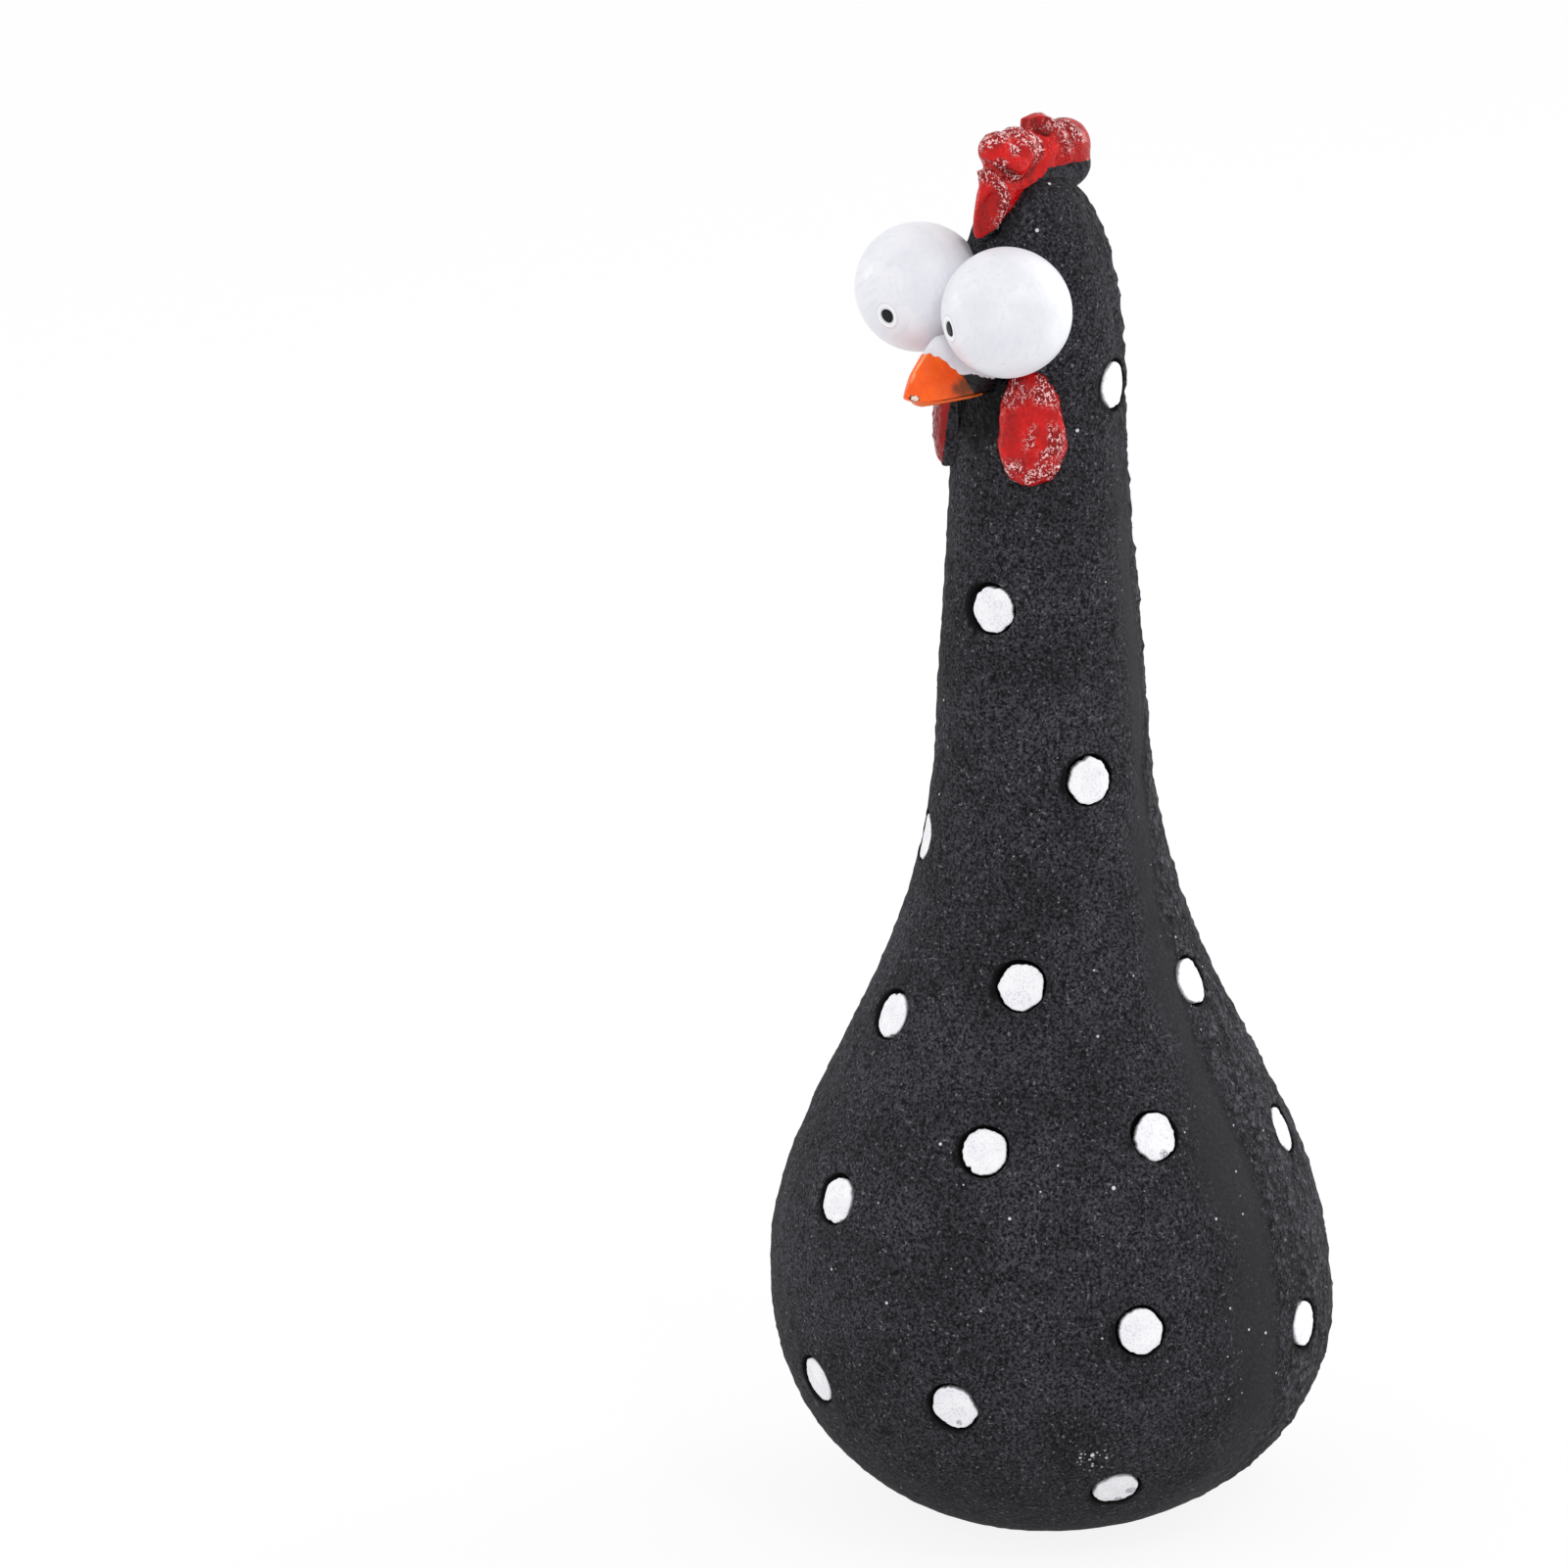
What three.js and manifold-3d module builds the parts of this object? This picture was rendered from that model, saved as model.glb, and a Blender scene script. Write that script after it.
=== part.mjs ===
import * as THREE from 'three';
import { mergeVertices } from 'three/addons/utils/BufferGeometryUtils.js';
import Module from 'manifold-3d';

// Resin chicken statue, in millimetres: a pear-shaped black body with white spots, round eyes
// that touch each other, an orange beak, red wattles and a red comb.
// +Z is up, the beak looks along -Y, and the origin is the middle of the flat underside.

// Clearance between pieces that are glued together
const seatGap = 0.3;

// Body outline, from the underside up
const footRadius = 16.4;
const bellyRadius = 39.45;
const bellyHeight = 31.5;
const bellyRoundBelow = 24.7;
const bellyRoundAbove = 29;
const neckRadius = 14.7;
const neckHeight = 113.5;
const neckSweep = 40;
const neckTaper = 0.047;
const headRadius = 11.95;
const headHeight = 161;
const crownHeight = 192;
const crownRise = 0.613;
const crownRound = 8.1;

// Hollow inside the body, and its mouth in the underside
const wall = 5;
const floorThickness = 6;
const mouthRadius = 11;
const solidBelowMouth = 14.7;
const discRadius = 13.2;
const discThickness = 2.4;

// How far a cutting solid runs past the face that it opens
const cutPast = 1;

// Eyes: two balls that meet in the middle and are sunk into the head
const eyeRadius = 8.9;
const eyeOverlap = 0.25;
const eyeSink = 3.4;
const eyeAboveMouth = 12.5;
const eyeUneven = 0.3;
const pupilRadius = 0.85;
const pupilStretch = 1.15;
const pupilThickness = 0.6;
const pupilRing = 0.35;
const pupilSink = 0.1;
const pupilTurn = 16;
const pupilDrop = 11.5;
const pupilUneven = 3.5;

// Beak: a wedge with a steep ridge, split at the mouth, with a white bridge between the eyes
const mouthBelowCrown = 28.3;
const beakReach = 12.9;
const beakTipHeight = 1.1;
const beakRidgeHeight = 6.1;
const bridgeReach = 9;
const bridgeHeight = 8.2;
const beakWidth = 7.2;
const beakRidgeWidth = 5.5;
const beakTipWidth = 1.9;
const beakTipRound = 0.6;
const beakTopNarrowing = 0.3;
const beakRootDepth = 2.6;
const bridgeSlope = 39;
const jawDepth = 1.3;
const jawSetback = 2.6;

// Wattles: one oval pad on each side of the throat
const wattleWidth = 9.6;
const wattleHeight = 16.2;
const wattleThickness = 6;
const wattleProud = 2.5;
const wattleTurn = 42;
const wattleBelowMouth = 5.2;

// Comb: rounded lobes along the crown, held by a peg
const combLength = 22;
const combHeight = 8;
const combThickness = 6.2;
const combToeProud = 2.6;
const combToeDrop = 0.775;
const combPegRadius = 1.5;
const combPegLength = 5;

// Spots: discs let into round pockets that leave a dark ring around each
const spotRadius = 3.2;
const spotRing = 0.6;
const spotThickness = 1.2;
const spotSink = 0.25;

// Place of each spot: its height as a share of the crown's height, and its turn from the left
// side. The ones seen come first, then the back.
const seenSpots = [
  [0.849, 21], [0.693, -74], [0.568, -17], [0.51, -127],
  [0.427, -52], [0.411, 21], [0.391, -104],
  [0.318, -59], [0.323, -14], [0.292, 36], [0.266, -98],
  [0.193, -24], [0.161, 21], [0.135, -63], [0.125, -102], [0.062, -27],
];
const backSpots = [
  [0.792, 128], [0.688, -178], [0.625, 84],
  [0.438, 92], [0.406, 162], [0.396, -154],
  [0.318, 80], [0.297, 125], [0.328, 172], [0.286, -143],
  [0.193, 64], [0.151, 108], [0.188, 151], [0.161, -150], [0.068, 76], [0.068, -166],
];

// Comb lobes from the front over the top to the back. Places and half sizes are shares of the
// comb's length and height, counted from its toe and from the crown, and the lean is in degrees.
const combLobes = [
  { along: 0.082, up: -0.413, length: 0.109, height: 0.662, thick: 0.6, lean: -15 },
  { along: 0.172, up: -0.175, length: 0.145, height: 0.475, thick: 0.9, lean: 0 },
  { along: 0.291, up: 0.312, length: 0.245, height: 0.500, thick: 1, lean: -12 },
  { along: 0.482, up: 0.650, length: 0.105, height: 0.338, thick: 0.75, lean: 0 },
  { along: 0.682, up: 0.262, length: 0.277, height: 0.575, thick: 1, lean: -6 },
  { along: 0.777, up: -0.100, length: 0.155, height: 0.375, thick: 0.85, lean: 0 },
];

// Facets round the body, along each stretch of its outline, and on small round pieces
const bodySides = 36;
const outlineSteps = 7;
const hollowSides = 18;
const ballSides = 20;
const ballRings = 12;
const lobeSides = 14;
const lobeRings = 10;
const padSides = 14;
const padRings = 10;
const discSides = 14;

// How finely the outline is read when something is placed on it
const readingSteps = 60;
const slopeStep = 0.5;

// Solids that can be joined and cut
const wasm = await Module();
wasm.setup();

function toSolid(geometry) {
  const bare = geometry.clone();
  bare.deleteAttribute('normal');
  bare.deleteAttribute('uv');
  const merged = mergeVertices(bare);
  const corners = merged.index.array;
  const kept = [];
  for (let i = 0; i < corners.length; i += 3) {
    const [a, b, c] = corners.slice(i, i + 3);
    if (a !== b && b !== c && c !== a) {
      kept.push(a, b, c);
    }
  }
  return new wasm.Manifold(new wasm.Mesh({
    numProp: 3,
    vertProperties: new Float32Array(merged.attributes.position.array),
    triVerts: new Uint32Array(kept),
  }));
}

function toGeometry(solid) {
  const mesh = solid.getMesh();
  const geometry = new THREE.BufferGeometry();
  geometry.setAttribute('position', new THREE.BufferAttribute(mesh.vertProperties, 3));
  geometry.setIndex(new THREE.BufferAttribute(mesh.triVerts, 1));
  geometry.computeVertexNormals();
  return geometry;
}

function ball(radius, centre) {
  const geometry = new THREE.SphereGeometry(radius, ballSides, ballRings);
  return toSolid(geometry.translate(centre.x, centre.y, centre.z));
}

function ellipsoid(halfX, halfY, halfZ, centre, sides, rings, lean = 0) {
  const geometry = new THREE.SphereGeometry(1, sides, rings);
  geometry.scale(halfX, halfY, halfZ);
  geometry.rotateX(THREE.MathUtils.degToRad(lean));
  return toSolid(geometry.translate(centre.x, centre.y, centre.z));
}

// A disc whose outer face is at a point and whose axis follows a direction
function plug(radius, top, bottom, point, direction, stretch = 1) {
  const geometry = new THREE.CylinderGeometry(radius, radius, top + bottom, discSides);
  geometry.translate(0, (top - bottom) / 2, 0);
  geometry.scale(1, 1, stretch);
  const origin = new THREE.Vector3();
  const turn = new THREE.Matrix4().lookAt(origin, direction, new THREE.Vector3(0, 0, 1));
  geometry.rotateX(-Math.PI / 2);
  geometry.applyMatrix4(turn);
  return toSolid(geometry.translate(point.x, point.y, point.z));
}

// Everything on one side of a plane, as a large block turned about the X axis
function halfSpace(point, degrees) {
  const size = 4 * crownHeight;
  const geometry = new THREE.BoxGeometry(size, size, size);
  geometry.translate(0, 0, size / 2);
  geometry.rotateX(THREE.MathUtils.degToRad(degrees));
  return toSolid(geometry.translate(point.x, point.y, point.z));
}

// Body outline as radius and height: underside, flank, shoulder, neck and crown
const outline = new THREE.Path();
outline.moveTo(0, 0);
outline.lineTo(footRadius, 0);
outline.bezierCurveTo(footRadius, 0, bellyRadius, bellyHeight - bellyRoundBelow,
  bellyRadius, bellyHeight);
outline.bezierCurveTo(bellyRadius, bellyHeight + bellyRoundAbove,
  neckRadius + neckTaper * neckSweep, neckHeight - neckSweep, neckRadius, neckHeight);
const neckThird = (headHeight - neckHeight) / 3;
outline.bezierCurveTo(neckRadius - neckTaper * neckThird, neckHeight + neckThird,
  headRadius, headHeight - neckThird, headRadius, headHeight);
const faceHeight = crownHeight - headHeight;
outline.bezierCurveTo(headRadius, headHeight + crownRise * faceHeight, crownRound, crownHeight,
  0, crownHeight);

const fineOutline = outline.getPoints(readingSteps);

function radiusAt(height) {
  for (let i = 2; i < fineOutline.length; i += 1) {
    const low = fineOutline[i - 1];
    const high = fineOutline[i];
    if (height <= high.y) {
      const share = (height - low.y) / (high.y - low.y);
      return low.x + share * (high.x - low.x);
    }
  }
  return 0;
}

// A point on the body and the direction straight out of it
function onBody(height, turn) {
  const slope = (radiusAt(height + slopeStep) - radiusAt(height - slopeStep)) / (2 * slopeStep);
  const angle = THREE.MathUtils.degToRad(turn);
  const radius = radiusAt(height);
  const point = new THREE.Vector3(radius * Math.cos(angle), radius * Math.sin(angle), height);
  const normal = new THREE.Vector3(Math.cos(angle), Math.sin(angle), -slope).normalize();
  return { point, normal };
}

// The outline moved outwards by a distance, or inwards if it is negative
function movedOutline(distance) {
  const points = outline.getPoints(outlineSteps);
  return points.map((point, i) => {
    const before = points[Math.max(i - 1, 0)];
    const after = points[Math.min(i + 1, points.length - 1)];
    const along = after.clone().sub(before).normalize();
    const radius = i === 0 || i === points.length - 1 ? 0 : point.x + distance * along.y;
    return new THREE.Vector2(radius, point.y - distance * along.x);
  });
}

function turned(points, sides = bodySides) {
  return toSolid(new THREE.LatheGeometry(points, sides).rotateX(Math.PI / 2));
}

// Height of the line between the upper and lower beak, from which the head's pieces are placed
const mouthHeight = crownHeight - mouthBelowCrown;

function bodyHollow() {
  const top = mouthHeight - solidBelowMouth;
  const inner = movedOutline(-wall).filter((point) => {
    return point.x > 0 && point.y > floorThickness && point.y < top;
  });
  return turned([
    new THREE.Vector2(0, -cutPast),
    new THREE.Vector2(mouthRadius, -cutPast),
    new THREE.Vector2(mouthRadius, floorThickness),
    ...inner,
    new THREE.Vector2(radiusAt(top) / 2, top),
    new THREE.Vector2(0, top),
  ], hollowSides);
}

function discAcross(radius, bottom, top) {
  const geometry = new THREE.CylinderGeometry(radius, radius, top - bottom, bodySides);
  geometry.rotateX(Math.PI / 2);
  return toSolid(geometry.translate(0, 0, (bottom + top) / 2));
}

// Eyes
function eyeCentre(side) {
  const height = mouthHeight + eyeAboveMouth - side * eyeUneven;
  const apart = eyeRadius - eyeOverlap / 2;
  const out = radiusAt(height) + eyeRadius - eyeSink;
  return new THREE.Vector3(side * apart, -Math.sqrt(out * out - apart * apart), height);
}

function gaze(side) {
  const turn = THREE.MathUtils.degToRad(pupilTurn);
  const drop = THREE.MathUtils.degToRad(pupilDrop - side * pupilUneven);
  const level = new THREE.Vector3(-side * Math.sin(turn), -Math.cos(turn), 0);
  return level.multiplyScalar(Math.cos(drop)).setZ(-Math.sin(drop));
}

function eyeSocket(side) {
  return ball(eyeRadius + seatGap, eyeCentre(side));
}

function eyeBall(side) {
  const centre = eyeCentre(side);
  const surface = centre.clone().addScaledVector(gaze(side), eyeRadius);
  const depth = pupilThickness + pupilSink + seatGap;
  const dimple = plug(pupilRadius + pupilRing, eyeRadius, depth, surface, gaze(side), pupilStretch);
  const half = new THREE.BoxGeometry(4 * eyeRadius, 4 * eyeRadius, 4 * eyeRadius);
  half.translate(side * (2 * eyeRadius + seatGap / 2), centre.y, centre.z);
  return ball(eyeRadius, centre).intersect(toSolid(half)).subtract(dimple);
}

function pupil(side) {
  const centre = eyeCentre(side);
  const surface = centre.clone().addScaledVector(gaze(side), eyeRadius);
  const disc = plug(pupilRadius, pupilRadius, pupilThickness + pupilSink, surface, gaze(side),
    pupilStretch);
  return disc.intersect(ball(eyeRadius - pupilSink, centre));
}

// Beak: rings from the root inside the head to the tip
function beakRings() {
  const face = radiusAt(mouthHeight);
  const crest = bridgeReach - (bridgeHeight - beakRidgeHeight);
  const halfReach = (bridgeReach + beakReach) / 2;
  const halfTop = (beakRidgeHeight + beakTipHeight) / 2;
  const bluntTop = beakTipHeight + beakTipRound;
  return [
    { y: -(face - beakRootDepth), top: bridgeHeight, width: beakWidth },
    { y: -(face + crest / 2), top: bridgeHeight, width: beakWidth },
    { y: -(face + crest), top: bridgeHeight, width: (beakWidth + beakRidgeWidth) / 2 },
    { y: -(face + bridgeReach), top: beakRidgeHeight, width: beakRidgeWidth },
    { y: -(face + halfReach), top: halfTop, width: (beakRidgeWidth + beakTipWidth) / 2 },
    { y: -(face + beakReach - beakTipRound), top: bluntTop, width: beakTipWidth },
    { y: -(face + beakReach), top: beakTipHeight, width: beakTipWidth - 2 * beakTipRound },
  ];
}

// A closed skin over egg-shaped rings, each given by its place, its top above the mouth and
// its width
function loft(rings, depth, grow) {
  const sides = discSides;
  const positions = [];
  const index = [];
  rings.forEach((ring, k) => {
    const end = k === 0 ? grow : (k === rings.length - 1 ? -grow : 0);
    const high = ring.top / 2 + depth / 2 + grow;
    const middle = (ring.top - depth) / 2;
    for (let i = 0; i < sides; i += 1) {
      const angle = (i / sides) * 2 * Math.PI;
      const lean = 1 - beakTopNarrowing * Math.sin(angle);
      const across = (ring.width / 2 + grow) * Math.cos(angle) * lean;
      positions.push(across, ring.y + end, mouthHeight + middle + high * Math.sin(angle));
    }
  });
  for (let k = 0; k < rings.length - 1; k += 1) {
    for (let i = 0; i < sides; i += 1) {
      const a = k * sides + i;
      const b = k * sides + ((i + 1) % sides);
      index.push(a, b, a + sides, b, b + sides, a + sides);
    }
  }
  const last = (rings.length - 1) * sides;
  for (let i = 1; i < sides - 1; i += 1) {
    index.push(0, i + 1, i);
    index.push(last, last + i, last + i + 1);
  }
  const geometry = new THREE.BufferGeometry();
  geometry.setAttribute('position', new THREE.Float32BufferAttribute(positions, 3));
  geometry.setIndex(index);
  return toSolid(geometry);
}

function beakBlock(grow) {
  return loft(beakRings(), jawDepth, grow);
}

const ridgeTop = new THREE.Vector3(0, -(radiusAt(mouthHeight) + bridgeReach),
  mouthHeight + beakRidgeHeight);
const aboveMouth = halfSpace(new THREE.Vector3(0, 0, mouthHeight + seatGap / 2), 0);
const aboveJaw = halfSpace(new THREE.Vector3(0, 0, mouthHeight - seatGap / 2), 0);
const sockets = eyeSocket(1).add(eyeSocket(-1));
const beakSeat = beakBlock(seatGap);
const grownBody = turned(movedOutline(seatGap));

function beakUpper() {
  const bridgeSide = halfSpace(ridgeTop, -bridgeSlope);
  return beakBlock(0).intersect(aboveMouth).subtract(bridgeSide);
}

function beakBridge() {
  const rise = seatGap / Math.cos(THREE.MathUtils.degToRad(bridgeSlope));
  const seat = ridgeTop.clone().add(new THREE.Vector3(0, 0, rise));
  const cap = beakBlock(0).intersect(halfSpace(seat, -bridgeSlope));
  return cap.intersect(aboveMouth).subtract(sockets);
}

function beakLower() {
  const rings = beakRings().map((ring, k) => {
    return { ...ring, y: k === 0 ? ring.y : ring.y + jawSetback };
  });
  return loft(rings, jawDepth, 0).subtract(aboveJaw);
}

// Wattles
function wattle(side) {
  const height = mouthHeight - wattleBelowMouth;
  const out = radiusAt(height) + wattleProud - wattleThickness / 2;
  const centre = new THREE.Vector3(0, -out, height);
  const pad = ellipsoid(wattleWidth / 2, wattleThickness / 2, wattleHeight / 2, centre,
    padSides, padRings).rotate([0, 0, side * wattleTurn]);
  return pad.subtract(grownBody).subtract(sockets).subtract(beakSeat);
}

// Comb
function comb() {
  const toeHeight = crownHeight - combToeDrop * combHeight;
  const toe = -(radiusAt(toeHeight) + combToeProud);
  let solid = null;
  for (const lobe of combLobes) {
    const centre = new THREE.Vector3(0, toe + lobe.along * combLength,
      crownHeight + lobe.up * combHeight);
    const shape = ellipsoid(combThickness * lobe.thick / 2, combLength * lobe.length,
      combHeight * lobe.height, centre, lobeSides, lobeRings, lobe.lean);
    solid = solid ? solid.add(shape) : shape;
  }
  const peg = discAcross(combPegRadius, crownHeight - combPegLength, crownHeight + cutPast);
  return solid.subtract(grownBody).add(peg);
}

// Body shell with its seats
const discSeat = discAcross(discRadius + seatGap, -cutPast, discThickness + seatGap);
const pegHole = discAcross(combPegRadius + seatGap, crownHeight - combPegLength - seatGap,
  crownHeight + cutPast);

function bodyShell(places) {
  const depth = spotSink + spotThickness + seatGap;
  let solid = turned(outline.getPoints(outlineSteps)).subtract(bodyHollow());
  solid = solid.subtract(discSeat).subtract(pegHole).subtract(sockets).subtract(beakSeat);
  for (const { point, normal } of places) {
    solid = solid.subtract(plug(spotRadius + spotRing, spotRadius, depth, point, normal));
  }
  return solid;
}

// Spots follow the curve of the body, a little below its surface
const sunkBody = turned(movedOutline(-spotSink));

function spot({ point, normal }) {
  return plug(spotRadius, spotRadius, spotSink + spotThickness, point, normal).intersect(sunkBody);
}

// Finishes
const blackResin = { color: 0x2e2f31, roughness: 0.85, metalness: 0 };
const whitePaint = { color: 0xf1f1f3, roughness: 0.45, metalness: 0 };
const orangePaint = { color: 0xe8661b, roughness: 0.3, metalness: 0 };
const redPaint = { color: 0xb5161c, roughness: 0.25, metalness: 0 };
const blackPaint = { color: 0x101011, roughness: 0.3, metalness: 0 };

const group = new THREE.Group();

function place(name, solid, finish) {
  const mesh = new THREE.Mesh(toGeometry(solid), new THREE.MeshStandardMaterial(finish));
  mesh.name = name;
  group.add(mesh);
}

const spotPlaces = [...seenSpots, ...backSpots].map(([share, turn]) => {
  return onBody(share * crownHeight, turn);
});

place('body_shell', bodyShell(spotPlaces), blackResin);
place('base_disc', discAcross(discRadius, 0, discThickness), blackResin);
place('comb', comb(), redPaint);
place('beak_bridge', beakBridge(), whitePaint);
place('beak_upper', beakUpper(), orangePaint);
place('beak_lower', beakLower(), orangePaint);
for (const [name, side] of [['left', 1], ['right', -1]]) {
  place(`eye_${name}`, eyeBall(side), whitePaint);
  place(`pupil_${name}`, pupil(side), blackPaint);
  place(`wattle_${name}`, wattle(side), redPaint);
}
spotPlaces.forEach((spotPlace, i) => {
  place(`spot_${String(i + 1).padStart(2, '0')}`, spot(spotPlace), whitePaint);
});

export default group;
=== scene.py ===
import math
from functools import partial

import bpy
import numpy as np
from mathutils import Matrix, Vector


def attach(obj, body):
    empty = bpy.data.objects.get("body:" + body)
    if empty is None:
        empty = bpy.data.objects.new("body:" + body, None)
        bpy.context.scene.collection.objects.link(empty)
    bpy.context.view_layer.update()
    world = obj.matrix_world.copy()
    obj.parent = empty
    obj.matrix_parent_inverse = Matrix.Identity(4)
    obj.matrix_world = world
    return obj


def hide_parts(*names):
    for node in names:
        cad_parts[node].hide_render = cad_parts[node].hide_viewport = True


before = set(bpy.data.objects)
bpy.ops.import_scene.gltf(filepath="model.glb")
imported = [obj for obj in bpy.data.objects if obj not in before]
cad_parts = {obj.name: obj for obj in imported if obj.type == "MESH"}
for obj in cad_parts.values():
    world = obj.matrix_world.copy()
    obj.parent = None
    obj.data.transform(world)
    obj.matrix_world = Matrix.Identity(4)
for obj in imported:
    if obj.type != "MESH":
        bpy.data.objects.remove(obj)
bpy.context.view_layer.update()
scene = bpy.context.scene
millimetre = 0.001
print("frame loaded:", len(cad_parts), "nodes")

# Shared sums, in millimetres until a mesh is made


# A repeatable number from 0 to 1 for each whole lattice point: its coordinates and the seed are
# multiplied by large odd numbers, crossed bit by bit, and the low bits kept.
def latticeValue(cells, seed):
    odd = np.array([73856093, 19349663, 83492791], np.int64)
    mixed = np.bitwise_xor.reduce(cells.astype(np.int64) * odd, axis=-1)
    mixed = (mixed ^ (seed * 2654435761)) & 0xFFFFFFFF
    mixed = ((mixed ^ (mixed >> 15)) * 2246822519) & 0xFFFFFFFF
    mixed = ((mixed ^ (mixed >> 13)) * 3266489917) & 0xFFFFFFFF
    return ((mixed ^ (mixed >> 16)) & 0xFFFF) / 65535.0


# Smooth lumps from -1 to 1: lattice values at the eight corners round each point, mixed by 3t^2 - 2t^3 of
# its place between them. The size is the lattice's step.
def softNoise(points, size, seed):
    place = np.asarray(points, float) / size
    base = np.floor(place)
    part = place - base
    part = part * part * (3 - 2 * part)
    total = 0
    for corner in np.ndindex(2, 2, 2):
        step = np.array(corner)
        share = np.prod(np.where(step, part, 1 - part), axis=-1)
        total = total + share * latticeValue(base + step, seed)
    return 2 * total - 1


# Rounded grains from 0 to 1: one minus the distance to the nearest of scattered points, one in each
# lattice cell, in shares of the cell's size.
def grains(points, size, seed):
    place = np.asarray(points, float) / size
    base = np.floor(place)
    nearest = np.full(place.shape[:-1], 9.0)
    for corner in np.ndindex(3, 3, 3):
        cell = base + np.array(corner) - 1
        spot = cell + np.stack([latticeValue(cell, seed + k) for k in range(3)], -1)
        nearest = np.minimum(nearest, np.linalg.norm(place - spot, axis=-1))
    return 1 - np.clip(nearest, 0, 1)


# Even steps round a full turn, in radians
def turnsOf(count):
    return np.arange(count) / count * 2 * math.pi


# From 0 to 1 as the value goes from low to high, by 3t^2 - 2t^3
def ramp(value, low, high):
    part = np.clip((value - low) / (high - low), 0, 1)
    return part * part * (3 - 2 * part)


# Vectors divided by their own lengths
def unit(vectors):
    return vectors / np.linalg.norm(vectors, axis=-1, keepdims=True)


# How near points are to a middle: 1 within the inner distance and 0 beyond the outer one, both in shares
# of the sizes along the three axes.
def nearTo(points, middle, sizes, inner, outer, wander=0):
    away = np.linalg.norm((points - middle) / sizes, axis=1)
    return 1 - ramp(away + wander, inner, outer)


# Some values of a dictionary, by their names
def valuesOf(shape, names):
    return [shape[name] for name in names.split()]


# Pairs of a reach and a lift, one for each ring, as two arrays with a row for each ring
def ringSteps(steps, columns):
    return [np.array([value * np.ones(columns) for value in part]) for part in zip(*steps)]


# Rings round the upright axis from pairs of a radius and a height
def turnedRings(profile, columns):
    reach, height = ringSteps(profile, columns)
    return np.stack([reach * np.cos(turnsOf(columns)), reach * np.sin(turnsOf(columns)), height], -1)


# Stands new data in the scene as an object
def addObject(name, data):
    made = bpy.data.objects.new(name, data)
    scene.collection.objects.link(made)
    return made


# A closed piece from rings of points and a point at each end, the ring's middle if none is given, joined
# to it by a fan. If the volume, a sixth of the sum of each face's triple product, comes out negative, the
# faces are turned round.
def closedPiece(name, rings, start=None, end=None):
    count, columns = rings.shape[:2]
    start = rings[0].mean(0) if start is None else start
    end = rings[-1].mean(0) if end is None else end
    points = np.concatenate([rings.reshape(-1, 3), [start], [end]])
    here = np.arange(columns)
    after = np.roll(here, -1)
    first = (np.arange(count - 1) * columns)[:, None]
    quads = [first + here, first + after, first + columns + after, first + columns + here]
    quads = np.stack(quads, -1).reshape(-1, 4)
    pole, last = np.full(columns, count * columns), (count - 1) * columns
    fans = np.array([[pole, after, here], [pole + 1, last + here, last + after]])
    fans = fans.transpose(0, 2, 1).reshape(-1, 3)
    a, b, c = points[np.concatenate([quads[:, [0, 1, 2]], quads[:, [0, 2, 3]], fans])].transpose(1, 0, 2)
    if np.einsum("ij,ij->i", a, np.cross(b, c)).sum() < 0:
        quads, fans = quads[:, ::-1], fans[:, ::-1]
    mesh = bpy.data.meshes.new(name)
    mesh.from_pydata((points * millimetre).tolist(), [], quads.tolist() + fans.tolist())
    mesh.validate()
    mesh.shade_smooth()
    return addObject(name, mesh)


# A piece's points in millimetres, a row for each
def pointsOf(piece):
    flat = np.zeros(len(piece.data.vertices) * 3, np.float32)
    piece.data.vertices.foreach_get("co", flat)
    return flat.reshape(-1, 3).astype(float) / millimetre


# Keeps values for a piece's points under names that its material reads: one number for all, or an array,
# to which zeros for the two end points are added where they are missing.
def paintMasks(piece, **masks):
    count = len(piece.data.vertices)
    for name, values in masks.items():
        flat = np.ravel(values)
        flat = np.full(count, flat[0]) if flat.size == 1 else np.append(flat, (0, 0))[:count]
        made = piece.data.attributes.new(name, "FLOAT", "POINT")
        made.data.foreach_set("value", flat.astype(np.float32))


# Puts a piece on the frame: its material, and the nodes it stands for, which it hides. The slot is not used.
def fitPiece(piece, material, slot, *nodes):
    piece.data.materials.clear()
    piece.data.materials.append(material)
    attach(piece, "root")
    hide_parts(*nodes)


# Shader groups and the materials' helpers


# Links a socket to an input, or sets the input to a number, a vector or a colour
def fill(target, value):
    if isinstance(value, bpy.types.NodeSocket):
        target.id_data.links.new(value, target)
    else:
        target.default_value = (*value, 1) if target.type == "RGBA" else value


# The node tree of the first socket among some values
def treeOf(*values):
    return next(value.id_data for value in values if isinstance(value, bpy.types.NodeSocket))


# A shader node with its settings, and its inputs filled by name or number
def addNode(tree, kind, inputs=None, **properties):
    made = tree.nodes.new("ShaderNode" + kind)
    for name, value in properties.items():
        setattr(made, name, value)
    for key, value in (inputs or {}).items():
        fill(made.inputs[key], value)
    return made


# One operation on numbers and sockets, chained from the first to the last
def mathNode(operation, first, *others):
    for other in others or (0.0,):
        inputs = {0: first, 1: other}
        first = addNode(treeOf(first, other), "Math", inputs, operation=operation).outputs[0]
    return first


times, plus, minus, larger = (partial(mathNode, word) for word in ("MULTIPLY", "ADD", "SUBTRACT", "MAXIMUM"))


# One operation on vectors
def vectorNode(tree, operation, inputs):
    return addNode(tree, "VectorMath", inputs, operation=operation).outputs


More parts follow.
